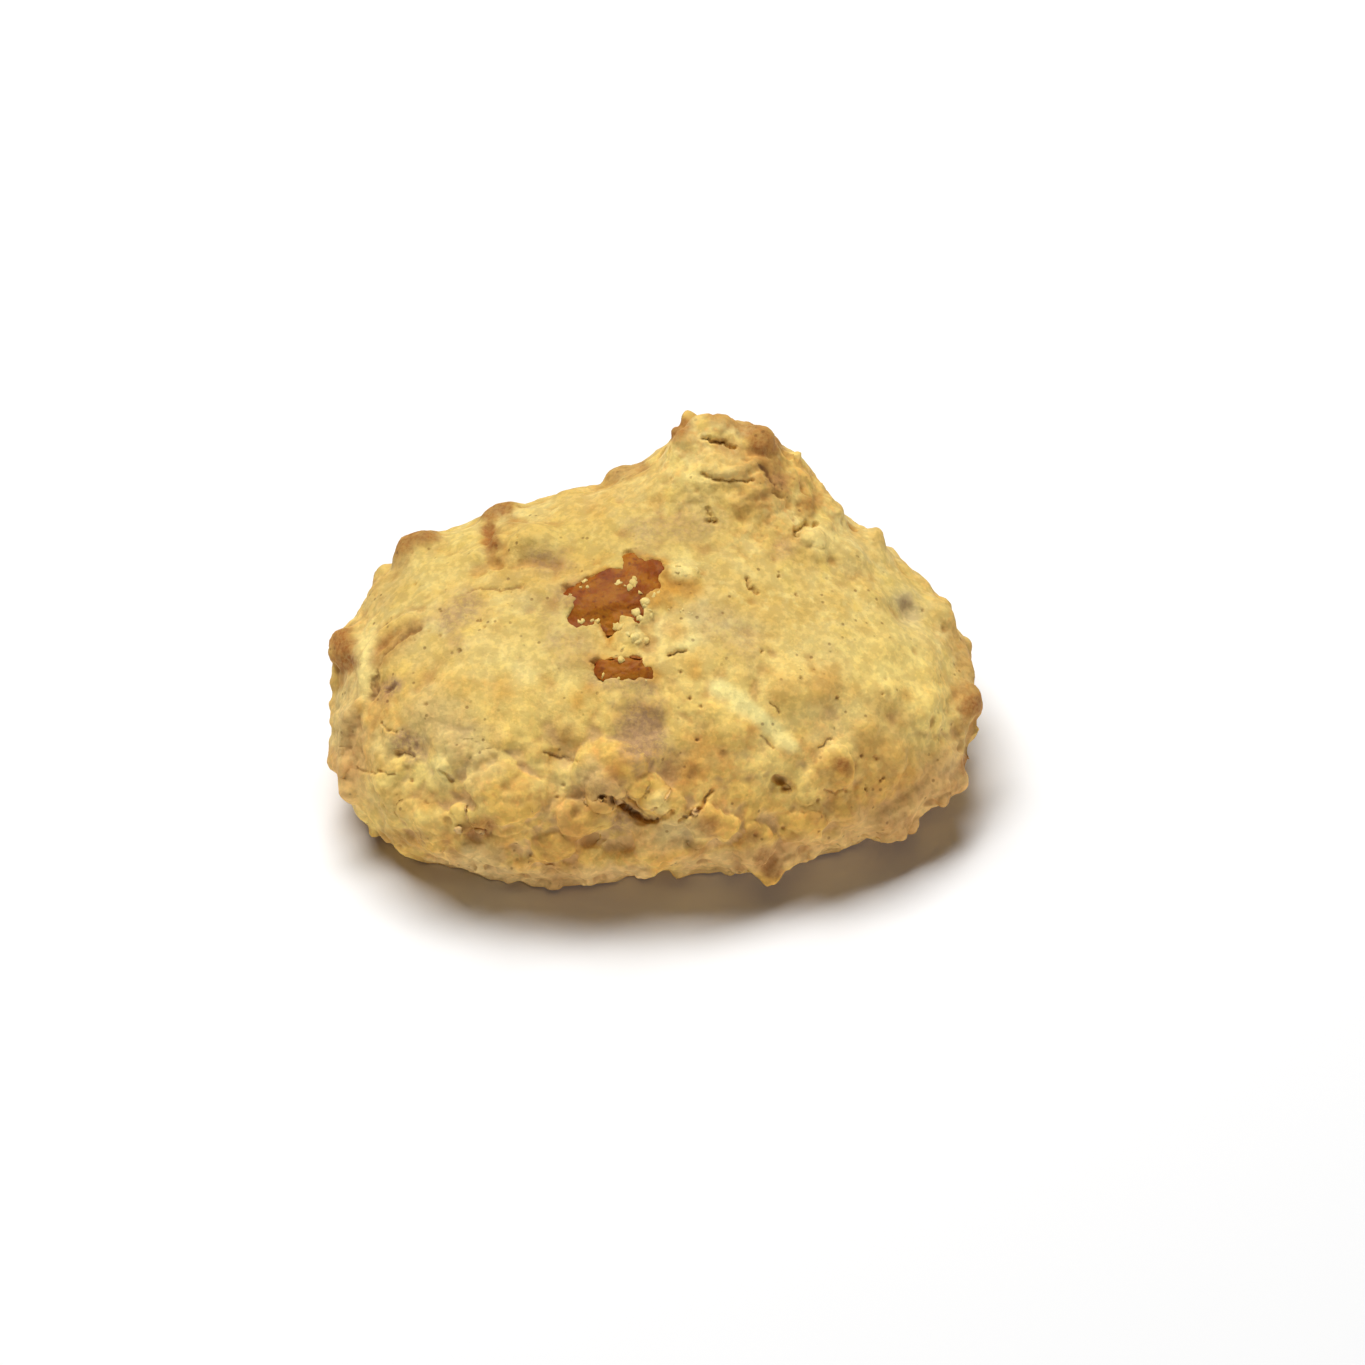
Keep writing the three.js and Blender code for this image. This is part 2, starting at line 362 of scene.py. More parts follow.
displace(dough, clouds("swells", 5.5 * MM), 2.2 * MM, 0.5, "craggy")
print("swells raised, box now", in_mm(dough.dimensions))

# %% [markdown]
# ## The crags that make this cookie this one
#
# Some crags are large enough to be told apart: the horned peak at the back, the raised crag on the left, the
# knobs along the rim. Each is named here with the pixel of the photograph where it sits, how far it spreads
# and how far it stands out. The line of sight through that pixel finds its place on the crust. There, the
# nearest vertices are pushed out with proportional editing, as one would with a mouse.

# %% Find the crust behind a pixel
MIDDLE = (655, 660)


def sight_line(u, v):
    """From the camera, the direction through a pixel of the photograph."""
    across = (u / PHOTO_SIDE - 0.5) * SENSOR_MM / LENS_MM
    up = (0.5 - v / PHOTO_SIDE) * SENSOR_MM / LENS_MM
    return (camera.matrix_world.to_3x3() @ Vector((across, up, -1))).normalized()


def crust_now():
    bpy.context.view_layer.update()
    return BVHTree.FromObject(dough, bpy.context.evaluated_depsgraph_get())


def seen_at(tree, u, v):
    """The crust behind a pixel, or behind the first one inside the outline on the way to the middle."""
    for step in range(60):
        share = step / 100
        here = (u + (MIDDLE[0] - u) * share, v + (MIDDLE[1] - v) * share)
        hit = tree.ray_cast(camera.location, sight_line(*here))[0]
        if hit:
            return hit
    raise ValueError(f"nothing is behind pixel {u}, {v}")


def all_seen_at(tree, pixels):
    return [seen_at(tree, u, v) for u, v in pixels]


print("behind the middle lies", in_mm(seen_at(crust_now(), *MIDDLE)))

# %% Helpers for pushing the crust
def nearby(places):
    """A tree that finds the nearest of some places."""
    tree = KDTree(len(places))
    for index, place in enumerate(places):
        tree.insert(place, index)
    tree.balance()
    return tree


def pick_vertices(indices):
    """Selects these vertices of the crust alone, in edit mode."""
    bpy.ops.mesh.select_all(action="DESELECT")
    skin = bmesh.from_edit_mesh(dough.data)
    skin.verts.ensure_lookup_table()
    for index in indices:
        skin.verts[index].select = True
    bmesh.update_edit_mesh(dough.data)


def push(pushes):
    """Moves the crust at spots by a height, less and less as far as it spreads: (spots, height, spread,
    falloff), all in metres."""
    tree = nearby(read(dough))
    chosen = [[tree.find(spot)[1] for spot in spots] for spots, *_ in pushes]
    pick_only(dough)
    bpy.ops.object.mode_set(mode="EDIT")
    for (_, height, spread, falloff), indices in zip(pushes, chosen):
        pick_vertices(indices)
        bpy.ops.transform.shrink_fatten(
            value=height, use_proportional_edit=True, proportional_edit_falloff=falloff,
            proportional_size=spread,
        )
    bpy.ops.object.mode_set(mode="OBJECT")


print(len(dough.data.vertices), "vertices can be pushed")

# %% Name the crags
CRAGS = {  # pixel across, pixel down, spread and height in mm
    "horn": (692, 416, 1.8, 1.7),
    "horn root": (700, 420, 2.4, 0.7),
    "horn side": (675, 432, 1.5, 0.6),
    "peak brow": (722, 424, 3.4, 1),
    "peak knob": (762, 438, 3, 1.5),
    "peak knob 2": (760, 449, 1.5, 0.5),
    "flake": (735, 468, 3, 0.5),
    "flake end": (756, 463, 1.6, 0.5),
    "peak shoulder": (799, 454, 2, 0.9),
    "peak flank": (821, 484, 2, 0.4),
    "peak flank 2": (838, 512, 1.6, 0.6),
    "peak chin": (760, 478, 1.6, 0.6),
    "peak cheek": (712, 458, 2.2, 0.5),
    "peak cheek 2": (735, 505, 2, 0.5),
    "crag under the peak": (725, 540, 3, 0.35),
    "crag under the peak 2": (765, 550, 2.6, 0.4),
    "orange lump": (806, 503, 2.8, 0.7),
    "pale ball": (812, 538, 1.6, 0.6),
    "peak foot": (757, 501, 3, 0.6),
    "brow nub": (647, 461, 1.8, 0.6),
    "brow": (612, 476, 3, 0.9),
    "left brow": (487, 511, 2.8, 0.8),
    "left edge crag": (405, 543, 3.4, 0.6),
    "left edge nub": (373, 585, 2.2, 0.6),
    "left knob": (334, 645, 3.6, 1),
    "left nub": (332, 682, 1.6, 0.5),
    "low left nub": (331, 764, 2.4, 0.6),
    "low left corner": (342, 796, 2.4, 0.7),
    "left spur": (374, 831, 1.2, 0.8),
    "left fringe": (418, 857, 1.8, 0.7),
    "right edge 1": (875, 533, 2.4, 0.8),
    "right edge 2": (905, 568, 2.2, 0.4),
    "right edge 3": (951, 605, 2.4, 0.9),
    "right edge 4": (969, 643, 2.4, 0.7),
    "right edge 5": (973, 672, 2.4, 0.8),
    "right knob": (976, 700, 3.4, 0.6),
    "right low knob": (965, 780, 2.6, 1),
    "right foot": (895, 837, 2.6, 0.9),
    "front spur": (767, 877, 2.6, 1.1),
    "raised crag": (508, 531, 2.8, 1.2),
    "raised crag middle": (526, 540, 3.4, 1),
    "raised crag right": (549, 547, 3, 0.6),
    "raised crag face": (497, 542, 1.9, 1),
    "raised crag back": (540, 530, 3, 0.5),
    "toasted lump": (790, 686, 3.8, 0.7),
    "toasted lump 2": (823, 690, 3.2, 0.7),
    "tipped lump": (840, 765, 2.6, 0.7),
    "front lump": (620, 767, 5, 1.5),
    "front lump chin": (641, 786, 2.5, 1),
    "front lump cheek": (601, 787, 2.6, 1),
    "lump right of the crack": (666, 803, 3, 1.2),
    "lump left of the crack": (588, 818, 3.4, 1.1),
    "ball by the foot": (547, 849, 3.2, 1.1),
    "broad front lump": (500, 795, 5.4, 1.2),
    "corner lump": (425, 825, 3.5, 1.1),
    "corner lump 2": (391, 803, 3.8, 1),
    "low lump 1": (466, 816, 3, 1),
    "low lump 2": (712, 826, 3.2, 1.1),
    "low lump 3": (760, 848, 3.5, 1.1),
    "low lump 4": (690, 850, 3, 0.6),
    "low lump 5": (520, 868, 2.5, 0.7),
    "low lump 6": (470, 850, 2.5, 0.7),
    "low lump 7": (640, 851, 3, 0.6),
    "low lump 8": (802, 834, 3, 0.7),
    "low lump 9": (842, 820, 3, 0.6),
    "low lump 10": (882, 792, 3, 0.5),
    "lump between the apricots": (622, 626, 1.6, 0.5),
    "lump between the apricots 2": (635, 620, 1.5, 0.5),
    "lump between the apricots 3": (618, 640, 1.5, 0.45),
    "lump between the apricots 4": (632, 638, 1.7, 0.5),
    "lump between the apricots 5": (624, 650, 1.4, 0.4),
    "lump beside the apricot": (672, 572, 1.7, 0.5),
    "lump beside the apricot 2": (686, 575, 1.6, 0.45),
    "lump beside the apricot 3": (651, 612, 1.3, 0.35),
    "left lump 1": (455, 762, 3, 0.5),
    "left lump 2": (482, 738, 3.5, 0.5),
}
ROUND = {  # the crags that are balls of dough
    "pale ball", "tipped lump", "front lump", "front lump chin", "front lump cheek", "left lump 1",
    "lump right of the crack", "lump left of the crack", "ball by the foot", "broad front lump",
    "lump between the apricots", "lump between the apricots 2", "lump between the apricots 3",
    "lump between the apricots 4", "lump beside the apricot", "lump beside the apricot 2", "corner lump",
    "low lump 1", "low lump 2", "low lump 3", "low lump 8",
}
SCALLOPS = (
    (400, 850), (440, 866), (458, 868), (480, 874), (501, 882), (530, 886), (553, 889), (590, 885),
    (612, 882), (645, 879), (679, 876), (693, 874), (726, 875), (740, 874), (790, 866), (817, 857),
    (840, 848), (880, 842), (915, 828), (945, 803),
)
NOTCHES = (
    (430, 862), (448, 868), (472, 869), (492, 875), (523, 882), (580, 883), (600, 882), (629, 876),
    (664, 866), (703, 866), (751, 874), (804, 856), (862, 838), (931, 807), (962, 748), (366, 819),
    (333, 668), (955, 624), (853, 526), (787, 452), (661, 451), (444, 533), (525, 505),
)

print(len(CRAGS), "crags named,", len(ROUND), "of them round")

# %% Raise the crags
BALL_SHARE = 0.75
SCALLOP = (0.55 * MM, 1.3 * MM, "SPHERE")
NOTCH = (-0.7 * MM, 1.1 * MM, "SMOOTH")
shaping = random.Random(8)


def cluster(u, v, spread):
    """A few pixels close to one another, which together make a lump that isn't round."""
    off = 0.5 * spread * PHOTO_PIXELS_PER_MM
    turns = [shaping.uniform(0, math.tau) for _ in range(3)]
    return [(u, v)] + [(u + off * math.cos(turn), v + 0.7 * off * math.sin(turn)) for turn in turns]


lumps = {name: cluster(*CRAGS[name][:3]) for name in sorted(ROUND)}
tree = crust_now()
push([
    (all_seen_at(tree, lumps[name]), height * MM, BALL_SHARE * spread * MM, "SPHERE")
    if name in ROUND else ([seen_at(tree, u, v)], height * MM, spread * MM, "SMOOTH")
    for name, (u, v, spread, height) in CRAGS.items()
])
tree = crust_now()
push([
    (all_seen_at(tree, SCALLOPS), *SCALLOP),
    (all_seen_at(tree, NOTCHES), *NOTCH),
])
print(len(SCALLOPS), "scallops raised and", len(NOTCHES), "notches cut")

# %% [markdown]
# ## Nubs
#
# Between the crags the crust is knobbly, most of all round the foot and the rim. Hundreds of little nubs are
# pushed out in a few goes, each go taking many vertices that lie far apart. The draws are seeded, so the
# cookie comes out the same each time.

# %% Scatter the nubs
NUBS = (  # how many, height and spread in mm, falloff, and whether they keep to the knobbly parts
    (90, 0.4, 2.4, "SMOOTH", True),
    (90, 0.28, 1.5, "SPHERE", True),
    (120, 0.14, 1, "SPHERE", True),
    (160, 0.18, 1.6, "SMOOTH", False),
    (120, -0.3, 1.1, "SMOOTH", False),
)
draws = random.Random(5)


def scattered(count, weights):
    """Places of vertices drawn by weight."""
    drawn = draws.choices(range(len(weights)), np.maximum(weights, 0), k=count)
    return [Vector(place) for place in read(dough)[drawn]]


places = read(dough) / MM
off_tray = fade(places[:, 2], 0.6, 2.5)
low_front = low_at_front(places, -16, 12)
low = fade(-places[:, 2], -14, -7)
knobbly = off_tray * (0.12 + np.maximum(np.maximum(0.5 * low_front, at_rim(places, 0.75)), low))
push([
    (scattered(count, knobbly if on_knobs else off_tray), height * MM, spread * MM, falloff)
    for count, height, spread, falloff, on_knobs in NUBS
])
print(sum(count for count, *_ in NUBS), "nubs and dents pushed")

# %% [markdown]
# ## The crumbly skin
#
# Up close the skin breaks into flakes at the peak, into angular crumbs at the front and into fine folds and
# grain everywhere. Cell patterns with sharp creases make flakes and crumbs, and cloud patterns the rest.
# Each keeps to the vertex group that was weighed for it.

# %% Displace the crumbs, folds and grain
displace(dough, shards("crumble", 4.4 * MM), 0.45 * MM, 0.35, "crumbly")
displace(dough, shards("flakes", 3.2 * MM), 0.5 * MM, 0.35, "flaky")
displace(dough, clouds("crumbs", 1.8 * MM, hard=True), 0.25 * MM, 0.4, "flaky")
displace(dough, clouds("lobes", 4.5 * MM, hard=True), 0.8 * MM, 0.4, "craggy")
displace(dough, clouds("folds", 2.2 * MM, hard=True), 0.26 * MM, 0.4, "folded")
displace(dough, clouds("grain", 1.1 * MM), 0.15 * MM, 0.5, "crust")
print("skin broken up, box now", in_mm(dough.dimensions))

# %% [markdown]
# ## The outline
#
# The swells and nubs have moved the outline by up to a millimetre. Held against the photograph, it is brought
# back with a soft push every few millimetres along it. At the foot a push would lift the crust off the tray
# or drive it in, so there the crust slides level with the table. The same slide, taken narrower, makes the
# small arches where the dough doesn't reach the tray.

# %% Name the trims
TRIMS = (  # pixel across, pixel down, push outwards in mm
    (361, 607, 0.2), (372, 578, -0.6), (397, 558, 0.9), (417, 532, 0.2), (442, 529, -0.5), (478, 519, 0.2),
    (528, 502, -0.2), (558, 494, 0.3), (645, 458, -0.4), (667, 440, -0.3), (684, 414, 0.25), (707, 416, 0.4),
    (752, 425, 0.5), (798, 454, -0.3), (809, 464, -0.4), (865, 525, -0.4), (907, 564, -0.2), (952, 615, 0.6),
    (966, 650, 0.3), (972, 677, 0.3), (982, 696, -0.2), (979, 730, -0.8), (974, 758, -0.95), (963, 787, 0.4),
    (339, 790, 0.3), (326, 762, -0.2), (329, 731, -0.4), (332, 682, 0.4),
)
FOOT_TRIMS = (  # pixel across, pixel down, slide forwards in mm as it shows in the photograph
    (937, 806, -0.3), (915, 829, 0.25), (857, 849, -0.95), (827, 856, -0.85), (797, 866, -0.5),
    (709, 877, -0.9), (678, 881, -0.9), (647, 882, -0.6), (616, 883, -0.55), (585, 888, -0.3),
    (523, 891, -0.8), (493, 883, -0.7), (463, 876, -1), (433, 869, -0.95), (404, 857, -0.5),
    (845, 852, -0.8), (815, 860, -0.4), (726, 880, -0.5), (695, 875, -0.4), (664, 879, -0.9),
    (602, 882, -0.25), (540, 888, -0.3), (509, 887, -0.5), (480, 877, -0.6), (451, 867, -0.5),
    (420, 860, -0.2),
)
ARCHES = (  # as the foot trims
    (850, 847, -0.6), (832, 855, -0.7), (718, 874, -0.3), (700, 874, -0.7), (664, 877, -1), (629, 879, -0.4),
    (518, 885, -0.3), (496, 881, -0.4), (478, 876, -0.6), (460, 871, -0.3), (439, 864, -0.35),
    (386, 838, 0.3), (757, 880, -0.3), (777, 878, 0.2),
)

print(len(TRIMS) + len(FOOT_TRIMS) + len(ARCHES), "places to trim")

# %% Trim the outline
TRIM_SPREAD = 4 * MM
ARCH_SPREAD, ARCH_ROUNDS = 2 * MM, 2


def level_base():
    """Puts the rim of the flat underside back on the tray."""
    pick_faces(lambda face: len(face.verts) > 4 and face.normal.z < -0.5)
    bpy.ops.transform.resize(value=(1, 1, 0), center_override=(0, 0, 0))
    back_to_object()


def slide(moves):
    """Moves the crust level with the table at spots, less and less as far as it spreads: (spot, forwards,
    spread), all in metres."""
    tree = nearby(read(dough))
    chosen = [tree.find(spot)[1] for spot, *_ in moves]
    pick_only(dough)
    bpy.ops.object.mode_set(mode="EDIT")
    for index, (_, forwards, spread) in zip(chosen, moves):
        pick_vertices([index])
        bpy.ops.transform.translate(
            value=(0, -forwards, 0), use_proportional_edit=True, proportional_edit_falloff="SMOOTH",
            proportional_size=spread,
        )
    bpy.ops.object.mode_set(mode="OBJECT")


tree = crust_now()
push([([seen_at(tree, u, v)], out * MM, TRIM_SPREAD, "SMOOTH") for u, v, out in TRIMS])
for trims, spread in ((FOOT_TRIMS, TRIM_SPREAD), *[(ARCHES, ARCH_SPREAD)] * ARCH_ROUNDS):
    tree = crust_now()
    slide([(seen_at(tree, u, v), out * MM / math.sin(LOOK_DOWN), spread) for u, v, out in trims])
level_base()
print("outline trimmed, box now", in_mm(dough.dimensions))

# %% [markdown]
# ## Ridges, hollows, holes and cracks
#
# As the dough rises, its skin stretches and splits. Ridges and cracks run along lines, so each is named with
# the pixels that it passes through. The line is filled in with points every few pixels, their places on the
# crust are found, and all of them are pushed at once. A crack has a narrow spread and goes in, a ridge a
# wider one and comes out.

# %% Name the hollows, lines and pores
HOLLOWS = {  # pixel across, pixel down, spread and depth in mm
    "right hollow": (909, 610, 2.4, 0.9),
    "stain hollow": (640, 733, 4, 0.7),
    "beside the raised crag": (478, 566, 2.6, 0.8),
    "grey hollow": (408, 741, 2.2, 0.6),
    "crease hollow": (560, 757, 2.2, 0.6),
}
LINES = {  # spread and height in mm, then the pixels along the line
    "left lip": (1.8, 0.9, (365, 690), (365, 663), (374, 646), (390, 631), (410, 619)),
    "left lip crease": (0.8, -0.6, (374, 696), (375, 668), (383, 652), (398, 639), (417, 628)),
    "left step": (1.8, 0.9, (362, 705), (347, 720), (345, 755), (346, 790)),
    "pale streak": (2.2, 0.25, (722, 686), (745, 702), (768, 722), (790, 745)),
    "hollow under the crack": (1.6, -0.7, (586, 837), (600, 840), (614, 844), (628, 846)),
    "hollow under the ball": (1.4, -0.7, (537, 867), (552, 869), (568, 866)),
    "three-cornered hole": (0.55, -0.7, (706, 510), (711, 518), (716, 521), (708, 521)),
    "largest hole": (0.75, -1.2, (778, 778), (784, 782), (790, 788), (785, 788)),
    "crack pit": (0.7, -0.7, (614, 801), (622, 803), (630, 808), (637, 814)),
    "left pit": (0.6, -0.7, (398, 752), (406, 754), (413, 755)),
    "purple pit": (0.6, -0.5, (388, 690), (394, 685)),
    "peak crack": (0.42, -0.75, (701, 437), (712, 440), (722, 442), (735, 446)),
    "flake crack": (0.35, -0.45, (703, 474), (711, 478), (719, 479), (730, 480), (742, 480), (752, 481)),
    "flake edge": (1.1, 0.45, (703, 469), (720, 473), (736, 472), (752, 466), (762, 459)),
    "peak crease": (0.6, -0.25, (757, 461), (768, 474), (776, 489)),
    "peak crease 2": (1.2, -0.4, (767, 492), (757, 503), (752, 512), (743, 519)),
    "crag side": (1.2, -0.6, (488, 527), (485, 541), (489, 556), (498, 566)),
    "crag crease": (1.1, -0.35, (492, 563), (510, 566), (535, 562), (560, 567)),
    "peak slit": (0.5, -0.6, (774, 492), (783, 496)),
    "crack over the ball": (0.55, -0.8, (796, 534), (800, 528), (807, 524), (816, 524)),
    "hook crack": (0.45, -0.7, (748, 577), (750, 586), (757, 594)),
    "slit by the apricot": (0.35, -0.5, (668, 655), (677, 653), (687, 650)),
    "left crease": (0.3, -0.2, (465, 592), (480, 588), (500, 590), (520, 587)),
    "front crack": (
        0.5, -0.75, (600, 797), (609, 799), (617, 800), (637, 815), (645, 820), (655, 821), (673, 812),
    ),
    "front crack 2": (0.45, -0.7, (680, 822), (690, 815), (700, 808), (712, 790)),
    "streak crack": (0.25, -0.3, (771, 703), (776, 708), (780, 712)),
    "streak crack 2": (0.25, -0.35, (762, 735), (767, 742), (772, 748)),
    "right crack": (0.28, -0.35, (820, 747), (826, 743), (831, 739)),
    "right slit": (0.28, -0.35, (825, 791), (836, 792), (847, 791)),
    "left slit": (0.3, -0.35, (358, 768), (367, 772), (375, 772)),
    "left slit 2": (0.3, -0.35, (377, 770), (386, 774), (394, 774)),
    "round crack": (0.28, -0.35, (381, 722), (386, 730), (396, 732)),
    "left crack": (0.28, -0.35, (440, 770), (448, 774), (452, 780)),
    "lump crease": (0.35, -0.35, (545, 752), (560, 757), (575, 762)),
    "low right crease": (1.1, -0.16, (868, 814), (900, 797), (925, 779), (945, 757), (955, 735)),
}
PORES = (
    (517, 536), (411, 781), (690, 698), (701, 706), (755, 835), (783, 828), (818, 800), (763, 650),
    (762, 652), (837, 698), (883, 694), (681, 672), (697, 740), (802, 678), (563, 785), (557, 797),
    (480, 620), (484, 627), (440, 635), (426, 704), (459, 651), (415, 584), (779, 576), (797, 595),
    (903, 619), (909, 621), (923, 610), (862, 756), (875, 757), (877, 759), (884, 778), (881, 781),
    (866, 789),
)

print(len(HOLLOWS), "hollows,", len(LINES), "lines and", len(PORES), "pores named")

# %% Press the hollows and raise the ridges
PITS = (80, 0.18, 0.6)  # how many, depth and spread in mm
PIXELS_APART = 2.5
WANDER = 5  # over how many pixels a line strays


def along(*pixels, stray=0, apart=PIXELS_APART):
    """Pixels evenly filled in along a line, which wanders as far as it may stray."""
    filled = []
    for (u, v), (u2, v2) in zip(pixels, pixels[1:]):
        count = max(1, round(math.hypot(u2 - u, v2 - v) / apart))
        filled += [(u + (u2 - u) * i / count, v + (v2 - v) * i / count) for i in range(count)]
    filled.append(pixels[-1])
    wander = [noise.noise_vector(Vector((u, v, 0)) / WANDER) * stray for u, v in filled]
    return [(u + off.x, v + off.y) for (u, v), off in zip(filled, wander)]


tree = crust_now()
ridges = {name: line for name, line in LINES.items() if line[1] > 0}
cracks = {name: line for name, line in LINES.items() if line[1] < 0}
pits, pit_depth, pit_spread = PITS
push(
    [([seen_at(tree, u, v)], -depth * MM, spread * MM, "SMOOTH") for u, v, spread, depth in HOLLOWS.values()]
    + [
        (all_seen_at(tree, along(*pixels)), height * MM, spread * MM, "SMOOTH")
        for spread, height, *pixels in ridges.values()
    ]
    + [(scattered(pits, off_tray), -pit_depth * MM, pit_spread * MM, "LINEAR")]
)
print(len(HOLLOWS), "hollows pressed and", len(ridges), "ridges raised")

# %% Open the cracks and pores
PORE, PORE_DEPTH = 0.38, 0.45
CRACK_STRAY, CRACK_APART = 2.5, 1.2  # in pixels
FINE, SOFT = 1, 1.1  # a crack is narrower than this, a crease under a lump as wide as this, in mm
FINEST = (0.2 * MM) ** 2


def refine(spots, reach):
    """Splits the faces of the crust near spots, so that they can be modelled more finely."""
    near = nearby(spots)
    pick_faces(lambda face: near.find(face.calc_center_median())[2] < reach and face.calc_area() > FINEST)
    bpy.ops.mesh.subdivide(number_cuts=1, ngon=False)
    back_to_object()


def under(u, v, spread, pixels):
    """Pixels along the lower edge of a lump."""
    reach = 0.7 * spread * PHOTO_PIXELS_PER_MM
    line = []
    for turn in np.radians(range(25, 156, 10)):
        way = Vector((math.cos(turn), math.sin(turn)))
        edge = reach
        for pixel in pixels:
            off = Vector(pixel) - Vector((u, v))
            inside = reach ** 2 - off.length_squared + off.dot(way) ** 2
            if inside > 0:
                edge = max(edge, off.dot(way) + math.sqrt(inside))
        line.append((u + edge * way.x, v + 0.8 * edge * way.y))
    return line


for name in sorted(ROUND):
    u, v, spread, height = CRAGS[name]
    if spread > 2 and "crack" not in name and not name.startswith("front lump"):
        cracks["under the " + name] = (SOFT, -0.15 - 0.2 * height, *under(u, v, spread, lumps[name]))
tree = crust_now()
crack_spots = {
    name: all_seen_at(tree, along(*pixels, stray=CRACK_STRAY, apart=CRACK_APART))
    for name, (_, _, *pixels) in cracks.items()
}
pore_spots = all_seen_at(tree, PORES)
dark_spots = [
    (spot, spread) for name, (spread, *_) in cracks.items() if spread < FINE for spot in crack_spots[name]
] + [(spot, PORE) for spot in pore_spots]
refine([spot for spot, _ in dark_spots], FINE * MM)
push(
    [
        (crack_spots[name], height * MM, spread * MM, "LINEAR" if spread < FINE else "SMOOTH")
        for name, (spread, height, *_) in cracks.items()
    ]
    + [(pore_spots, -PORE_DEPTH * MM, PORE * MM, "LINEAR")]
)
print(len(cracks), "cracks and creases and", len(PORES), "pores")

# %% [markdown]
# ## Beds for the apricots
#
# The apricot pieces lie level with the crust, and the dough ends round them in a ragged line. The outline of
# each piece is drawn with pixels, the crust inside is pressed in, and the apricot shows through.

# %% Press the beds
APRICOT_OUTLINES = {
    "apricot_large": ((568, 620), (575, 607), (577, 596), (562, 590), (562, 586), (576, 585), (586, 577),
                      (605, 571), (624, 568), (625, 550), (631, 549), (636, 558), (650, 560), (664, 561),
                      (664, 567), (656, 576), (660, 584), (648, 590), (641, 600), (642, 610), (639, 622),
                      (630, 615), (622, 614), (615, 622), (611, 636), (606, 636), (602, 622), (594, 616),
                      (592, 623), (576, 624)),
    "apricot_small": ((592, 662), (595, 657), (606, 660), (613, 657), (622, 660), (632, 656), (640, 657),
                      (644, 666), (654, 672), (652, 677), (638, 674), (626, 679), (612, 676), (602, 679),
                      (593, 673)),
}
BED, BED_WALL = 1 * MM, 0.5 * MM
RAGGED = 4  # how far the rim of a bed strays, in pixels

unpressed = crust_now()
for node, outline in APRICOT_OUTLINES.items():
    refine(all_seen_at(unpressed, along(*outline, outline[0])), 0.8 * MM)
    u, v = pixels_of(read(dough))
    bed = enclosed(u, v, along(*outline, outline[0], stray=RAGGED)) & (facing(dough) > 0)
    pick_only(dough)
    bpy.ops.object.mode_set(mode="EDIT")
    bpy.ops.mesh.select_all(action="DESELECT")
    bpy.ops.object.mode_set(mode="OBJECT")
    dough.data.vertices.foreach_set("select", bed)
    bpy.ops.object.mode_set(mode="EDIT")
    bpy.ops.transform.shrink_fatten(
        value=-BED, use_proportional_edit=True, proportional_edit_falloff="SHARP", proportional_size=BED_WALL
    )
    bpy.ops.object.mode_set(mode="OBJECT")
    print(node, "bed has", bed.sum(), "vertices")

level_base()

# %% [markdown]
# ## Colour marks on the crust
#
# The crust isn't one colour: knobs are toasted, hollows stay pale and grey, and the fruit has left amber and
# mauve stains. Where they lie is part of this cookie, so they are dabbed on as attributes of the vertices.
# Each dab is a stroke along pixels of the photograph, with a reach in pixels and an amount.

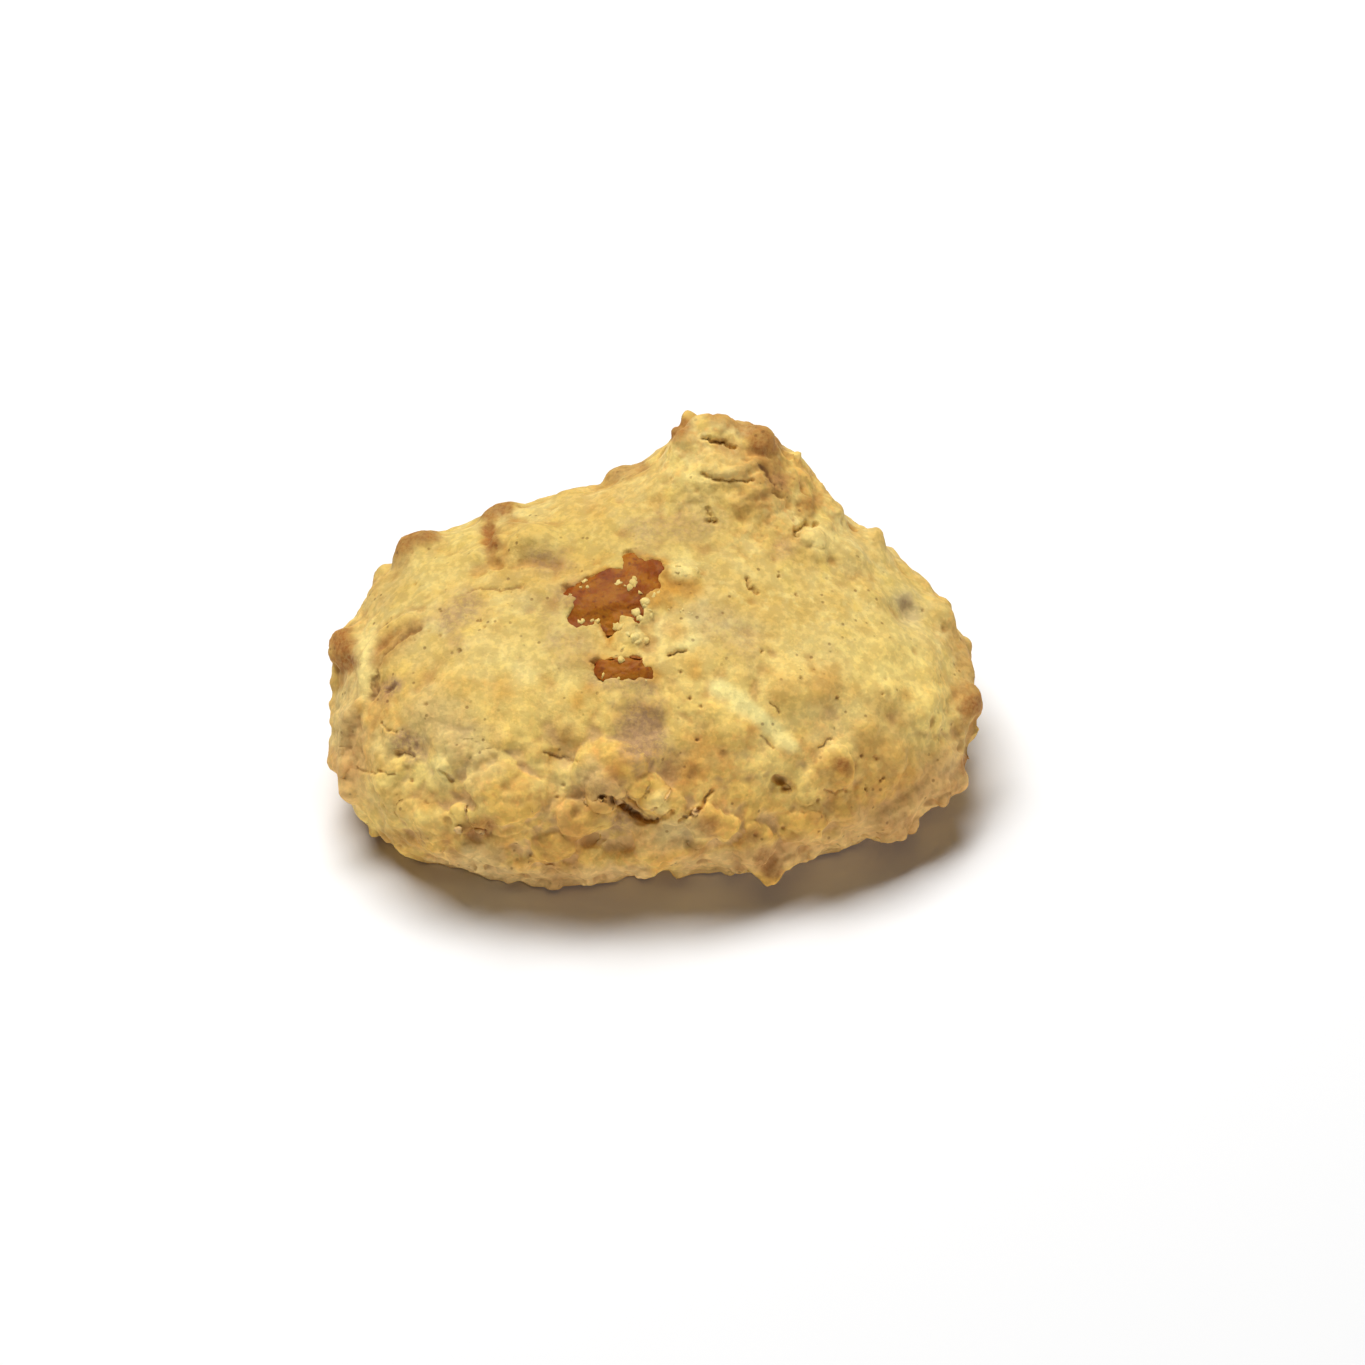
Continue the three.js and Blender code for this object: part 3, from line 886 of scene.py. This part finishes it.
# %% Name the marks: reach in pixels, amount, then the pixels along the stroke
TOAST = (
    (8, 0.9, (674, 434), (684, 424)), (16, 0.85, (755, 432), (770, 445)), (10, 1, (757, 446), (764, 450)),
    (14, 0.6, (770, 460), (778, 485)), (11, 0.4, (742, 511), (762, 498)), (9, 0.5, (722, 443), (736, 449)),
    (9, 0.5, (715, 416), (745, 424), (762, 431)), (9, 0.4, (745, 468), (757, 463)),
    (10, 0.6, (806, 505), (813, 503)), (10, 0.6, (610, 475), (640, 467)), (12, 0.9, (488, 512), (505, 507)),
    (9, 1, (489, 530), (493, 545)), (10, 0.5, (500, 560)), (8, 0.5, (512, 520)),
    (11, 0.9, (396, 548), (412, 536), (430, 533)), (14, 0.45, (400, 560)), (9, 0.5, (372, 585)),
    (10, 0.4, (383, 600)), (15, 1, (340, 640), (345, 662)), (9, 0.7, (333, 645)),
    (10, 0.6, (376, 660), (384, 648), (400, 636), (414, 627)), (22, 0.35, (345, 690), (350, 765)),
    (14, 0.3, (380, 695), (380, 765)), (22, 0.25, (365, 590), (395, 585)),
    (10, 0.55, (347, 716), (345, 750)), (9, 0.5, (356, 706)), (9, 0.5, (332, 752)), (24, 0.4, (395, 805)),
    (14, 0.4, (425, 800)), (10, 0.6, (385, 835), (405, 838), (420, 838)), (9, 0.5, (445, 838)),
    (13, 0.8, (470, 830), (487, 828)), (10, 0.5, (470, 838)), (9, 0.5, (455, 853)), (13, 0.5, (548, 848)),
    (14, 0.5, (615, 770)), (12, 0.6, (565, 733)), (15, 0.6, (675, 775), (690, 770)), (16, 0.2, (785, 685)),
    (20, 0.3, (825, 682)), (16, 0.35, (880, 705), (900, 720)), (26, 0.35, (880, 745), (915, 765)),
    (12, 1, (842, 765)), (20, 0.4, (835, 772)), (18, 1, (975, 705)), (16, 0.7, (968, 690)),
    (14, 0.6, (965, 725)), (14, 0.5, (955, 640), (968, 665)), (10, 0.9, (966, 765)),
    (12, 0.6, (955, 790), (945, 800)), (32, 0.4, (850, 810), (930, 770)), (16, 0.6, (890, 828), (905, 825)),
    (13, 0.8, (710, 823)), (12, 0.4, (700, 815)), (10, 0.7, (755, 835)), (10, 0.6, (697, 851)),
    (16, 0.4, (815, 815), (830, 818)), (20, 0.4, (790, 845)), (14, 0.8, (772, 870), (765, 860)),
    (18, 0.4, (745, 850)), (20, 0.4, (590, 800), (560, 870)), (16, 0.4, (500, 850)),
)
STAIN = (
    (14, 0.35, (548, 620), (556, 600)), (12, 0.6, (578, 590), (562, 596)), (18, 0.7, (450, 620), (468, 605)),
    (12, 0.5, (455, 640)), (14, 0.5, (462, 600)), (16, 0.5, (640, 530), (700, 525)), (18, 0.4, (650, 540)),
    (14, 0.6, (540, 560), (556, 562)), (12, 0.5, (782, 548)), (9, 0.6, (779, 480)), (8, 0.6, (905, 602)),
    (22, 0.45, (716, 622), (740, 640)), (26, 0.9, (640, 720), (645, 745)), (14, 0.7, (655, 715)),
    (10, 0.6, (650, 690)), (8, 1, (389, 690), (394, 685)), (12, 0.5, (385, 695)),
    (14, 0.9, (405, 740), (415, 748)), (13, 0.8, (618, 822), (630, 815)), (14, 0.5, (555, 640), (575, 640)),
    (12, 0.6, (600, 678), (640, 680)), (12, 0.35, (565, 660), (590, 655)), (16, 0.3, (690, 505), (720, 520)),
    (14, 0.4, (620, 790), (590, 780)),
)
CREAM = (
    (9, 1, (720, 686), (745, 704), (768, 722)), (11, 0.8, (762, 718), (790, 745)), (18, 0.25, (440, 768)),
    (14, 0.5, (385, 745)), (12, 0.6, (365, 640), (362, 690)), (12, 0.5, (345, 700), (338, 740)),
    (14, 0.25, (820, 745), (840, 735)), (20, 0.15, (760, 770), (800, 760)),
    (10, 0.6, (665, 630), (690, 640)), (12, 0.6, (682, 570)), (16, 0.2, (545, 770), (590, 780)),
    (12, 0.5, (660, 800)), (14, 0.4, (820, 540)), (24, 0.3, (480, 650), (520, 660)),
)
GREY = (
    (30, 0.5, (430, 715), (470, 755)), (16, 0.3, (447, 772)), (20, 0.3, (470, 775)),
    (24, 0.2, (560, 800), (580, 795)), (13, 0.9, (904, 601), (911, 614)), (14, 0.5, (700, 830), (670, 830)),
    (20, 0.2, (815, 720), (850, 715)), (16, 0.4, (470, 860), (490, 868)), (14, 0.4, (525, 600)),
)
AMBER = (
    (10, 0.7, (680, 632), (668, 628)), (8, 0.9, (676, 631)), (8, 0.8, (695, 674)), (10, 0.5, (695, 665)),
    (12, 1, (655, 588), (688, 588)), (9, 1, (645, 592), (656, 600)), (9, 0.8, (668, 602)),
    (8, 1, (664, 574)), (26, 0.4, (515, 572), (590, 578)), (6, 1, (602, 620), (610, 638)),
    (9, 0.9, (594, 662), (655, 676)), (5, 0.9, (636, 556), (664, 562)),
    (6, 0.9, (566, 588), (580, 584), (606, 570)), (14, 0.5, (503, 688)), (8, 0.7, (578, 700)),
    (10, 0.5, (590, 690)), (10, 0.5, (590, 505), (600, 510)), (8, 0.5, (855, 690)), (8, 0.5, (908, 695)),
    (12, 0.4, (640, 705)), (10, 0.5, (615, 772)), (26, 0.25, (725, 468), (750, 500)), (16, 0.3, (782, 690)),
    (18, 0.45, (822, 682)), (30, 0.3, (880, 750), (905, 775)), (14, 0.4, (700, 745), (690, 770)),
    (10, 0.4, (812, 503)), (12, 0.4, (430, 800)), (30, 0.3, (600, 500)),
)
FLOURED = (
    (30, 0.5, (860, 840), (910, 820), (960, 770)), (24, 0.45, (342, 730), (348, 790)),
    (16, 0.5, (690, 868), (860, 848)), (14, 0.6, (440, 866), (520, 882)), (14, 0.6, (520, 882), (640, 876)),
    (14, 0.4, (470, 855), (490, 862)), (16, 0.3, (610, 790), (590, 775)), (20, 0.3, (670, 835), (640, 840)),
)
PALED = (
    (50, 0.9, (420, 780), (395, 805)), (55, 0.8, (885, 680), (905, 715)), (45, 0.6, (700, 690), (800, 690)),
    (45, 0.6, (610, 690), (500, 735)), (24, 0.5, (675, 748)), (24, 0.6, (768, 772), (800, 788)),
    (15, 0.6, (850, 748)), (24, 0.6, (460, 812), (478, 836)), (24, 0.5, (695, 478), (712, 510)),
    (12, 0.5, (708, 462), (742, 464)),
)
BROWNED = (
    (55, 0.6, (540, 575), (690, 530)), (60, 0.25, (470, 550), (610, 500)), (50, 0.2, (700, 565), (830, 590)),
    (60, 0.22, (430, 690), (540, 700)), (45, 0.5, (545, 620)), (40, 0.5, (400, 580), (450, 548)),
    (30, 0.6, (905, 600)), (28, 0.5, (545, 640)), (16, 0.5, (750, 505)), (12, 0.5, (815, 515)),
    (18, 0.5, (605, 832)), (18, 0.5, (572, 772)),
)

print(sum(map(len, (TOAST, STAIN, CREAM, GREY, AMBER, FLOURED, PALED, BROWNED))), "strokes named")

# %% Dab the marks
EDGE_SIZE = 1.6  # of the ragged edges of strokes, in mm
INNER, OUTER = 0.3, 1.5  # shares of a stroke's reach between which it fades


def dabs(strokes):
    """How far each vertex is covered by strokes of pixels."""
    cover = np.zeros(len(mark_u))
    for reach, amount, *pixels in strokes:
        nearest = np.full(len(mark_u), np.inf)
        for (u1, v1), (u2, v2) in zip(pixels, pixels[1:] or pixels):
            du, dv = u2 - u1, v2 - v1
            length = max(du * du + dv * dv, 1e-9)
            share = np.clip(((mark_u - u1) * du + (mark_v - v1) * dv) / length, 0, 1)
            nearest = np.minimum(nearest, np.hypot(mark_u - u1 - share * du, mark_v - v1 - share * dv))
        nearest *= 1 + 0.5 * rough_edge
        cover = np.maximum(cover, amount * fade(-nearest, -OUTER * reach, -INNER * reach))
    return cover * mark_seen


def keep(piece, name, values):
    piece.data.attributes.new(name, "FLOAT", "POINT").data.foreach_set("value", values.astype(np.float32))


def smoothed(piece, values, rounds):
    """Each value averaged with its neighbours, several times."""
    ends = np.empty(len(piece.data.edges) * 2, np.int32)
    piece.data.edges.foreach_get("vertices", ends)
    one, other = ends.reshape(-1, 2).T
    near = np.bincount(one, minlength=len(values)) + np.bincount(other, minlength=len(values))
    values = values.copy()
    for _ in range(rounds):
        for column in range(values.shape[1]):
            total = np.bincount(one, values[other, column], len(values))
            total += np.bincount(other, values[one, column], len(values))
            values[:, column] = total / near
    return values


mark_u, mark_v = pixels_of(read(dough))
mark_seen = fade(facing(dough), -0.1, 0.2)
places, outward = read(dough) / MM, read(dough, "normal")
rough_edge = np.array([noise.noise(Vector(place / EDGE_SIZE)) for place in places])
fine_relief = ((places - smoothed(dough, places, 12)) * outward).sum(1)
broad_relief = ((places - smoothed(dough, places, 90)) * outward).sum(1)
low_front = low_at_front(places, -12, 10)
low_dip = fade(-broad_relief, 0.05, 0.5) * low_front
unseen_toast = (1 - mark_seen) * fade(broad_relief, 0.2, 1) * 0.8
peaked = patch_cover(mark_u, mark_v, PEAK, 1.2, 0.7) * mark_seen
keep(dough, "toast", np.maximum(dabs(TOAST), unseen_toast))
keep(dough, "stain", dabs(STAIN))
keep(dough, "cream", dabs(CREAM))
keep(dough, "grey", dabs(GREY))
keep(dough, "amber", dabs(AMBER))
keep(dough, "pale", dabs(PALED))
keep(dough, "floured", np.maximum(dabs(FLOURED), 0.5 * low_dip))
keep(dough, "browned", dabs(BROWNED))
print("relief in mm from", round(broad_relief.min(), 2), "to", round(broad_relief.max(), 2))

# %% Mark what the shape itself gives: cracks, creases, lumps and the underside
from_crack = nearby([spot for spot, _ in dark_spots])
nearest = [from_crack.find(place)[1:] for place in read(dough)]
off_crack = np.array([off / MM / dark_spots[index][1] for index, off in nearest])
# Painted shade, partly toast: the cavity mark darkens the crust in and beside cracks and pores, where little
# light gets in.
keep(dough, "cavity", 0.9 * fade(-off_crack, -0.95, -0.3) * fade(-fine_relief, -0.05, 0.1))
# Painted shade: the crease mark darkens fine creases with a warm brown that stands in for light bounced
# inside them.
keep(dough, "crease", fade(-fine_relief, 0.03, 0.22))
keep(dough, "blush", np.maximum(np.maximum(low_front, 0.8 * peaked), 0.7 * at_rim(places, 0.8)))
# Partly painted light: the foot mark gives the low front a lighter, warmer colour, partly its own tone and
# partly to lift the light on the front side.
keep(dough, "foot", low_front)
keep(dough, "lump", fade(broad_relief, 0, 0.6) * low_front)
keep(dough, "knob", fade(broad_relief, 0.1, 0.9))
# Painted shade: the dip mark darkens broad hollows a little with the same warm brown.
keep(dough, "dip", fade(-broad_relief, 0.1, 0.7))
keep(dough, "base", fade(-outward[:, 2], 0.55, 0.9) * fade(-places[:, 2], -6, -2))
print((off_crack < 1).sum(), "vertices lie in cracks")

# %% [markdown]
# ## A lighter skin
#
# All the splitting near cracks has left far more faces than the eye needs. The crust could be remeshed, but
# that would lose the marks. A Decimate modifier takes away faces where the crust is nearly flat and keeps
# them where it bends.

# %% Thin out the skin
MOST_TRIANGLES = 190000


def triangle_count(piece):
    return sum(len(face.vertices) - 2 for face in piece.data.polygons)


before = triangle_count(dough)
apply_new(dough, "DECIMATE", decimate_type="COLLAPSE", ratio=MOST_TRIANGLES / before)
print("dough had", before, "triangles and has", triangle_count(dough))

# %% [markdown]
# ## Baked crust
#
# Flour, butter and egg brown unevenly. The base colour is a mottle of pale yellow and gold. The marks are
# mixed in over it. Cracks go dark brown, partly toast and partly painted shade. Creases, dips and pores get
# painted shade. The low front is painted lighter and warmer, partly its own tone and partly painted light.
# Tiny pores and grains break everything up.

# %% Helpers for mixing
def feed(tree, socket, value):
    """Sets an input to a number or a colour, or links it to an output."""
    if isinstance(value, bpy.types.NodeSocket):
        tree.links.new(value, socket)
    else:
        socket.default_value = (*value, 1) if socket.type == "RGBA" else value


def add(tree, kind, **settings):
    """A node with its attributes set and, under their names, its inputs fed."""
    node = tree.nodes.new(kind)
    for name, value in settings.items():
        if hasattr(node, name):
            setattr(node, name, value)
        else:
            feed(tree, node.inputs[name.replace("_", " ")], value)
    return node


def noise_value(tree, where, size, detail=2.0, rough=0.5):
    pattern = add(tree, "ShaderNodeTexNoise", Vector=where, Scale=1 / size, Detail=detail, Roughness=rough)
    return pattern.outputs["Fac"]


def spread_value(tree, value, low, high, new_low=0.0, new_high=1.0):
    """A value taken smoothly from one range to another."""
    node = add(
        tree, "ShaderNodeMapRange", interpolation_type="SMOOTHSTEP", Value=value,
        From_Min=low, From_Max=high, To_Min=new_low, To_Max=new_high,
    )
    return node.outputs["Result"]


def multiply(tree, one, other):
    node = add(tree, "ShaderNodeMath", operation="MULTIPLY")
    for value, socket in zip((one, other), node.inputs):
        feed(tree, socket, value)
    return node.outputs[0]


def blend(tree, under, over, share, way="MIX"):
    """One colour laid over another; a colour is a socket or three numbers."""
    node = add(tree, "ShaderNodeMix", data_type="RGBA", blend_type=way, clamp_factor=True)
    for value, place in ((under, 6), (over, 7), (share, 0)):
        feed(tree, node.inputs[place], value)
    return node.outputs[2]


print("helpers ready")

# %% Name the colours of the crust
PALE, GOLD = (0.80, 0.622, 0.226), (0.70, 0.455, 0.114)
YELLOW, CREAMY, PALER = (0.78, 0.52, 0.09), (0.95, 0.79, 0.30), (0.90, 0.695, 0.21)
GREYISH, FLOURY, BROWNER = (0.60, 0.46, 0.2), (0.80, 0.545, 0.25), (0.64, 0.46, 0.115)
FOOT, LUMPED, BLUSHED = (0.86, 0.54, 0.12), (0.85, 0.51, 0.10), (0.78, 0.37, 0.085)
TOASTED, STAINED, AMBERED = (0.33, 0.115, 0.02), (0.40, 0.235, 0.115), (0.56, 0.24, 0.02)
# Painted shade: the last two colours on the next line darken creases, dips, cracks and pores; the darkest is
# partly toasted brown.
UNDERSIDE, CREASE_SHADE, DARK_BROWN_AND_SHADE = (0.34, 0.16, 0.045), (0.46, 0.21, 0.04), (0.16, 0.06, 0.012)
MOTTLES = (  # colour, size in mm, detail, where the noise starts and ends, share
    (GREYISH, 6, 2, 0.55, 0.75, 0.4),
    (STAINED, 7, 3, 0.54, 0.7, 0.14),
    (YELLOW, 4.5, 2, 0.54, 0.66, 0.4),
    (CREAMY, 1.9, 2, 0.56, 0.72, 0.35),
)
FOOT_TOASTS = ((3.5, 0.68, 0.3), (1.5, 0.66, 0.2))  # size in mm, where the noise ends, share
BLUSHES = ((3.2, 0.4), (1.4, 0.4), (0.7, 0.2))  # size in mm, share

print(len(MOTTLES) + len(FOOT_TOASTS) + len(BLUSHES), "kinds of spots")

# %% Mix the crust
crust, tree, shader = new_material(
    "baked_crust", Specular_IOR_Level=0.3,
    Subsurface_Weight=0.06, Subsurface_Radius=(1, 0.55, 0.2), Subsurface_Scale=1.2 * MM,
)
where = add(tree, "ShaderNodeTexCoord").outputs["Object"]


def mark(name, share=None):
    """An attribute of the vertices, or a share of it."""
    value = add(tree, "ShaderNodeAttribute", attribute_name=name).outputs["Fac"]
    return value if share is None else multiply(tree, value, share)


broad = spread_value(tree, noise_value(tree, where, 9 * MM, 3), 0.36, 0.62)
middling = spread_value(tree, noise_value(tree, where, 2.6 * MM, 3), 0.35, 0.65)
granular = noise_value(tree, where, 0.6 * MM, 4, 0.65)
flecked = spread_value(tree, noise_value(tree, where, 1.1 * MM, 2, 0.6), 0.36, 0.64)
dots = add(tree, "ShaderNodeTexVoronoi", Vector=where, Scale=1 / (1.5 * MM))
# Dots for pores: they dent the bump and, darkened in the colour, are painted shade in the pores.
pitted = multiply(
    tree, spread_value(tree, dots.outputs["Distance"], 0.2, 0.08),
    spread_value(tree, noise_value(tree, where, 5 * MM, 1), 0.48, 0.6),
)
layers = [(PALE, broad), (GOLD, multiply(tree, middling, 0.6))]  # colours and their cover, bottom first
for mottle, size, detail, start, end, share in MOTTLES:
    spots = spread_value(tree, noise_value(tree, where, size * MM, detail), start, end)
    layers.append((mottle, multiply(tree, spots, share)))
# Partly painted light: the low front is painted lighter and warmer.
layers += [(GOLD, mark("knob", 0.5)), (FOOT, mark("foot", 0.7))]
for size, end, share in FOOT_TOASTS:
    spots = mark("foot", spread_value(tree, noise_value(tree, where, size * MM, 3), 0.5, end))
    layers.append((TOASTED, multiply(tree, spots, share)))
layers.append((LUMPED, mark("lump", 0.7)))
for size, share in BLUSHES:
    spots = spread_value(tree, noise_value(tree, where, size * MM, 2), 0.5, 0.66, 0, share)
    layers.append((BLUSHED, mark("blush", spots)))
layers += [
    (PALER, mark("pale", spread_value(tree, middling, 0, 1, 0.9, 0.55))),
    (BROWNER, mark("browned")),
    # Painted shade in the broad dips and the fine creases.
    (CREASE_SHADE, mark("dip", 0.2)),
    (CREASE_SHADE, mark("crease", 0.5)),
    (FLOURY, mark("floured")),
    (GREYISH, mark("grey")),
    (CREAMY, mark("cream")),
    (AMBERED, mark("amber", 0.7)),
    (STAINED, mark("stain", spread_value(tree, granular, 0.35, 0.6, 0.4, 1))),
    (TOASTED, mark("toast", spread_value(tree, granular, 0.3, 0.7, 0.65, 1))),
    # Painted shade in cracks and pores, partly toasted brown.
    (DARK_BROWN_AND_SHADE, mark("cavity")),
    # Painted shade in the tiny pores.
    (DARK_BROWN_AND_SHADE, multiply(tree, pitted, 0.55)),
    (UNDERSIDE, mark("base")),
]
colour = GOLD
for over, cover in layers:
    colour = blend(tree, colour, over, cover)
shade = spread_value(tree, multiply(tree, granular, flecked), 0, 0.6, 0.86, 1.06)
colour = blend(tree, colour, shade, 1.0, "MULTIPLY")
print("crust mixed from", len(layers), "layers")

# %% Put the crust on the dough
tree.links.new(colour, shader.inputs["Base Color"])
tree.links.new(spread_value(tree, middling, 0, 1, 0.72, 0.9), shader.inputs["Roughness"])
grainy = blend(tree, granular, (0, 0, 0), pitted)
bump = add(tree, "ShaderNodeBump", Strength=0.5, Distance=0.3 * MM, Height=grainy)
tree.links.new(bump.outputs["Normal"], shader.inputs["Normal"])
dough.data.materials.append(crust)
pick_only(dough)
bpy.ops.object.shade_smooth()
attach(dough, "root")
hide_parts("dough")
print(dough.name, "is baked")

# %% [markdown]
# ## Dried apricot
#
# Two pieces of dried apricot: leathery, moist and half see-through. Copies of their solids are rounded with
# a subdivision, and a faint wrinkle pattern dries their skin.

# %% Mix the apricot flesh
FLESH = (0.26, 0.062, 0.008)
FLESH_BRIGHT = (0.37, 0.13, 0.012)
FLESH_DARK = (0.18, 0.045, 0.012)

flesh, tree, shader = new_material(
    "dried_apricot", Roughness=0.5, Specular_IOR_Level=0.08,
    Subsurface_Weight=0.3, Subsurface_Radius=(1, 0.35, 0.1), Subsurface_Scale=1.5 * MM,
)
where = add(tree, "ShaderNodeTexCoord").outputs["Object"]
patchy = spread_value(tree, noise_value(tree, where, 4.5 * MM, 3, 0.6), 0.42, 0.62)
fibres = noise_value(tree, where, 0.7 * MM, 3, 0.6)
colour = blend(tree, FLESH, FLESH_BRIGHT, patchy)
colour = blend(tree, colour, FLESH_DARK, multiply(tree, spread_value(tree, fibres, 0.5, 0.7), 0.7))
tree.links.new(colour, shader.inputs["Base Color"])
bump = add(tree, "ShaderNodeBump", Strength=0.7, Distance=0.2 * MM, Height=fibres)
tree.links.new(bump.outputs["Normal"], shader.inputs["Normal"])
print("flesh mixed from", len(tree.nodes), "nodes")

# %% Shape the apricots
SUNK = 0.2 * MM
UNDER_THE_RIM = 1.16  # how much wider than its solid, so that it reaches under the ragged rim
TURNED_UP = 0.2  # how far a vertex faces the camera before it is lifted to the crust

for node in APRICOT_OUTLINES:
    piece = copy_of(node, "cookie_" + node)
    apply_new(piece, "SUBSURF", levels=2, render_levels=2)
    edit_all(piece)
    bpy.ops.transform.resize(
        value=(UNDER_THE_RIM, UNDER_THE_RIM, 1), center_override=Vector(read(piece).mean(0))
    )
    bpy.ops.object.mode_set(mode="OBJECT")
    shape = read(piece)
    for index, turned in enumerate(facing(piece)):
        to_eye = (camera.location - Vector(shape[index])).normalized()
        hit = unpressed.ray_cast(Vector(shape[index]) - to_eye * 2 * MM, to_eye)[0]
        if hit and turned > TURNED_UP:
            lift = (hit - Vector(shape[index])).dot(to_eye) - SUNK
            shape[index] += np.array(to_eye) * lift * min(1, (turned - TURNED_UP) / 0.3)
    piece.data.vertices.foreach_set("co", shape.astype(np.float32).ravel())
    piece.data.update()
    apply_new(piece, "SMOOTH", factor=0.5, iterations=6)
    displace(piece, clouds("wrinkles", 1.2 * MM, hard=True), 0.2 * MM, 0.4)
    piece.data.materials.append(flesh)
    pick_only(piece)
    bpy.ops.object.shade_smooth()
    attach(piece, "root")
    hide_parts(node)
    print(piece.name, len(piece.data.polygons), "faces")

# %% [markdown]
# ## Crumbs
#
# Grains of dough stick to the crust, most of all round the apricots, where the dough was rubbed off. Each is
# a small ball, squashed and turned by seeded draws, and half sunk into the surface that it sits on.

# %% Scatter the crumbs
CRUMB_STROKES = (  # count, spread in pixels, sizes in mm, then the pixels along the stroke
    (9, 6, 0.8, 1.7, (618, 584), (641, 590)),
    (9, 5, 0.8, 1.6, (645, 598), (648, 614), (638, 622)),
    (10, 8, 0.8, 1.6, (616, 630), (636, 636), (624, 652)),
    (6, 8, 0.8, 1.3, (668, 566), (692, 578)),
    (6, 4, 0.6, 1.3, (596, 677), (648, 680)),
    (6, 4, 0.5, 0.9, (572, 594), (592, 576)),
    (6, 4, 0.5, 1, (578, 622), (600, 618)),
    (10, 10, 0.5, 1.1, (660, 602), (690, 616)),
)
BURIED = 0.65  # share of a crumb's radius
tops = [
    BVHTree.FromObject(piece, bpy.context.evaluated_depsgraph_get())
    for piece in (dough, *(bpy.data.objects["cookie_" + node] for node in APRICOT_OUTLINES))
]


def top_at(u, v):
    """The dough or apricot that shows at a pixel."""
    hits = [tree.ray_cast(camera.location, sight_line(u, v)) for tree in tops]
    return min((hit for hit in hits if hit[0]), key=lambda hit: hit[3])[0]


grains = []
for count, spread, small, large, *pixels in CRUMB_STROKES:
    line = along(*pixels)
    for _ in range(count):
        u, v = draws.choice(line)
        radius = draws.uniform(small, large) * MM / 2
        spot = top_at(u + draws.gauss(0, spread / 2), v + draws.gauss(0, spread / 2))
        grains.append((spot - BURIED * radius * (camera.location - spot).normalized(), radius))
balls = []
for spot, radius in grains:
    bpy.ops.mesh.primitive_ico_sphere_add(subdivisions=2, radius=radius, location=spot)
    ball = bpy.context.object
    ball.scale = [draws.uniform(0.6, 1.3) for _ in range(3)]
    ball.rotation_euler = [draws.uniform(0, math.tau) for _ in range(3)]
    balls.append(ball)
pick_only(*balls)
bpy.ops.object.join()
crumbs = bpy.context.object
crumbs.name = "cookie_crumbs"
bpy.ops.object.transform_apply(location=True, rotation=True, scale=True)
displace(crumbs, shards("crumb_lumps", 0.6 * MM), 0.5 * MM, 0.3)
keep(crumbs, "cream", np.full(len(crumbs.data.vertices), 0.15))
crumbs.data.materials.append(crust)
pick_only(crumbs)
bpy.ops.object.shade_smooth()
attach(crumbs, "root")
print(len(grains), "crumbs,", len(crumbs.data.polygons), "faces")

# %% Print the triangle counts
for piece in (dough, crumbs):
    print(piece.name, triangle_count(piece), "triangles")
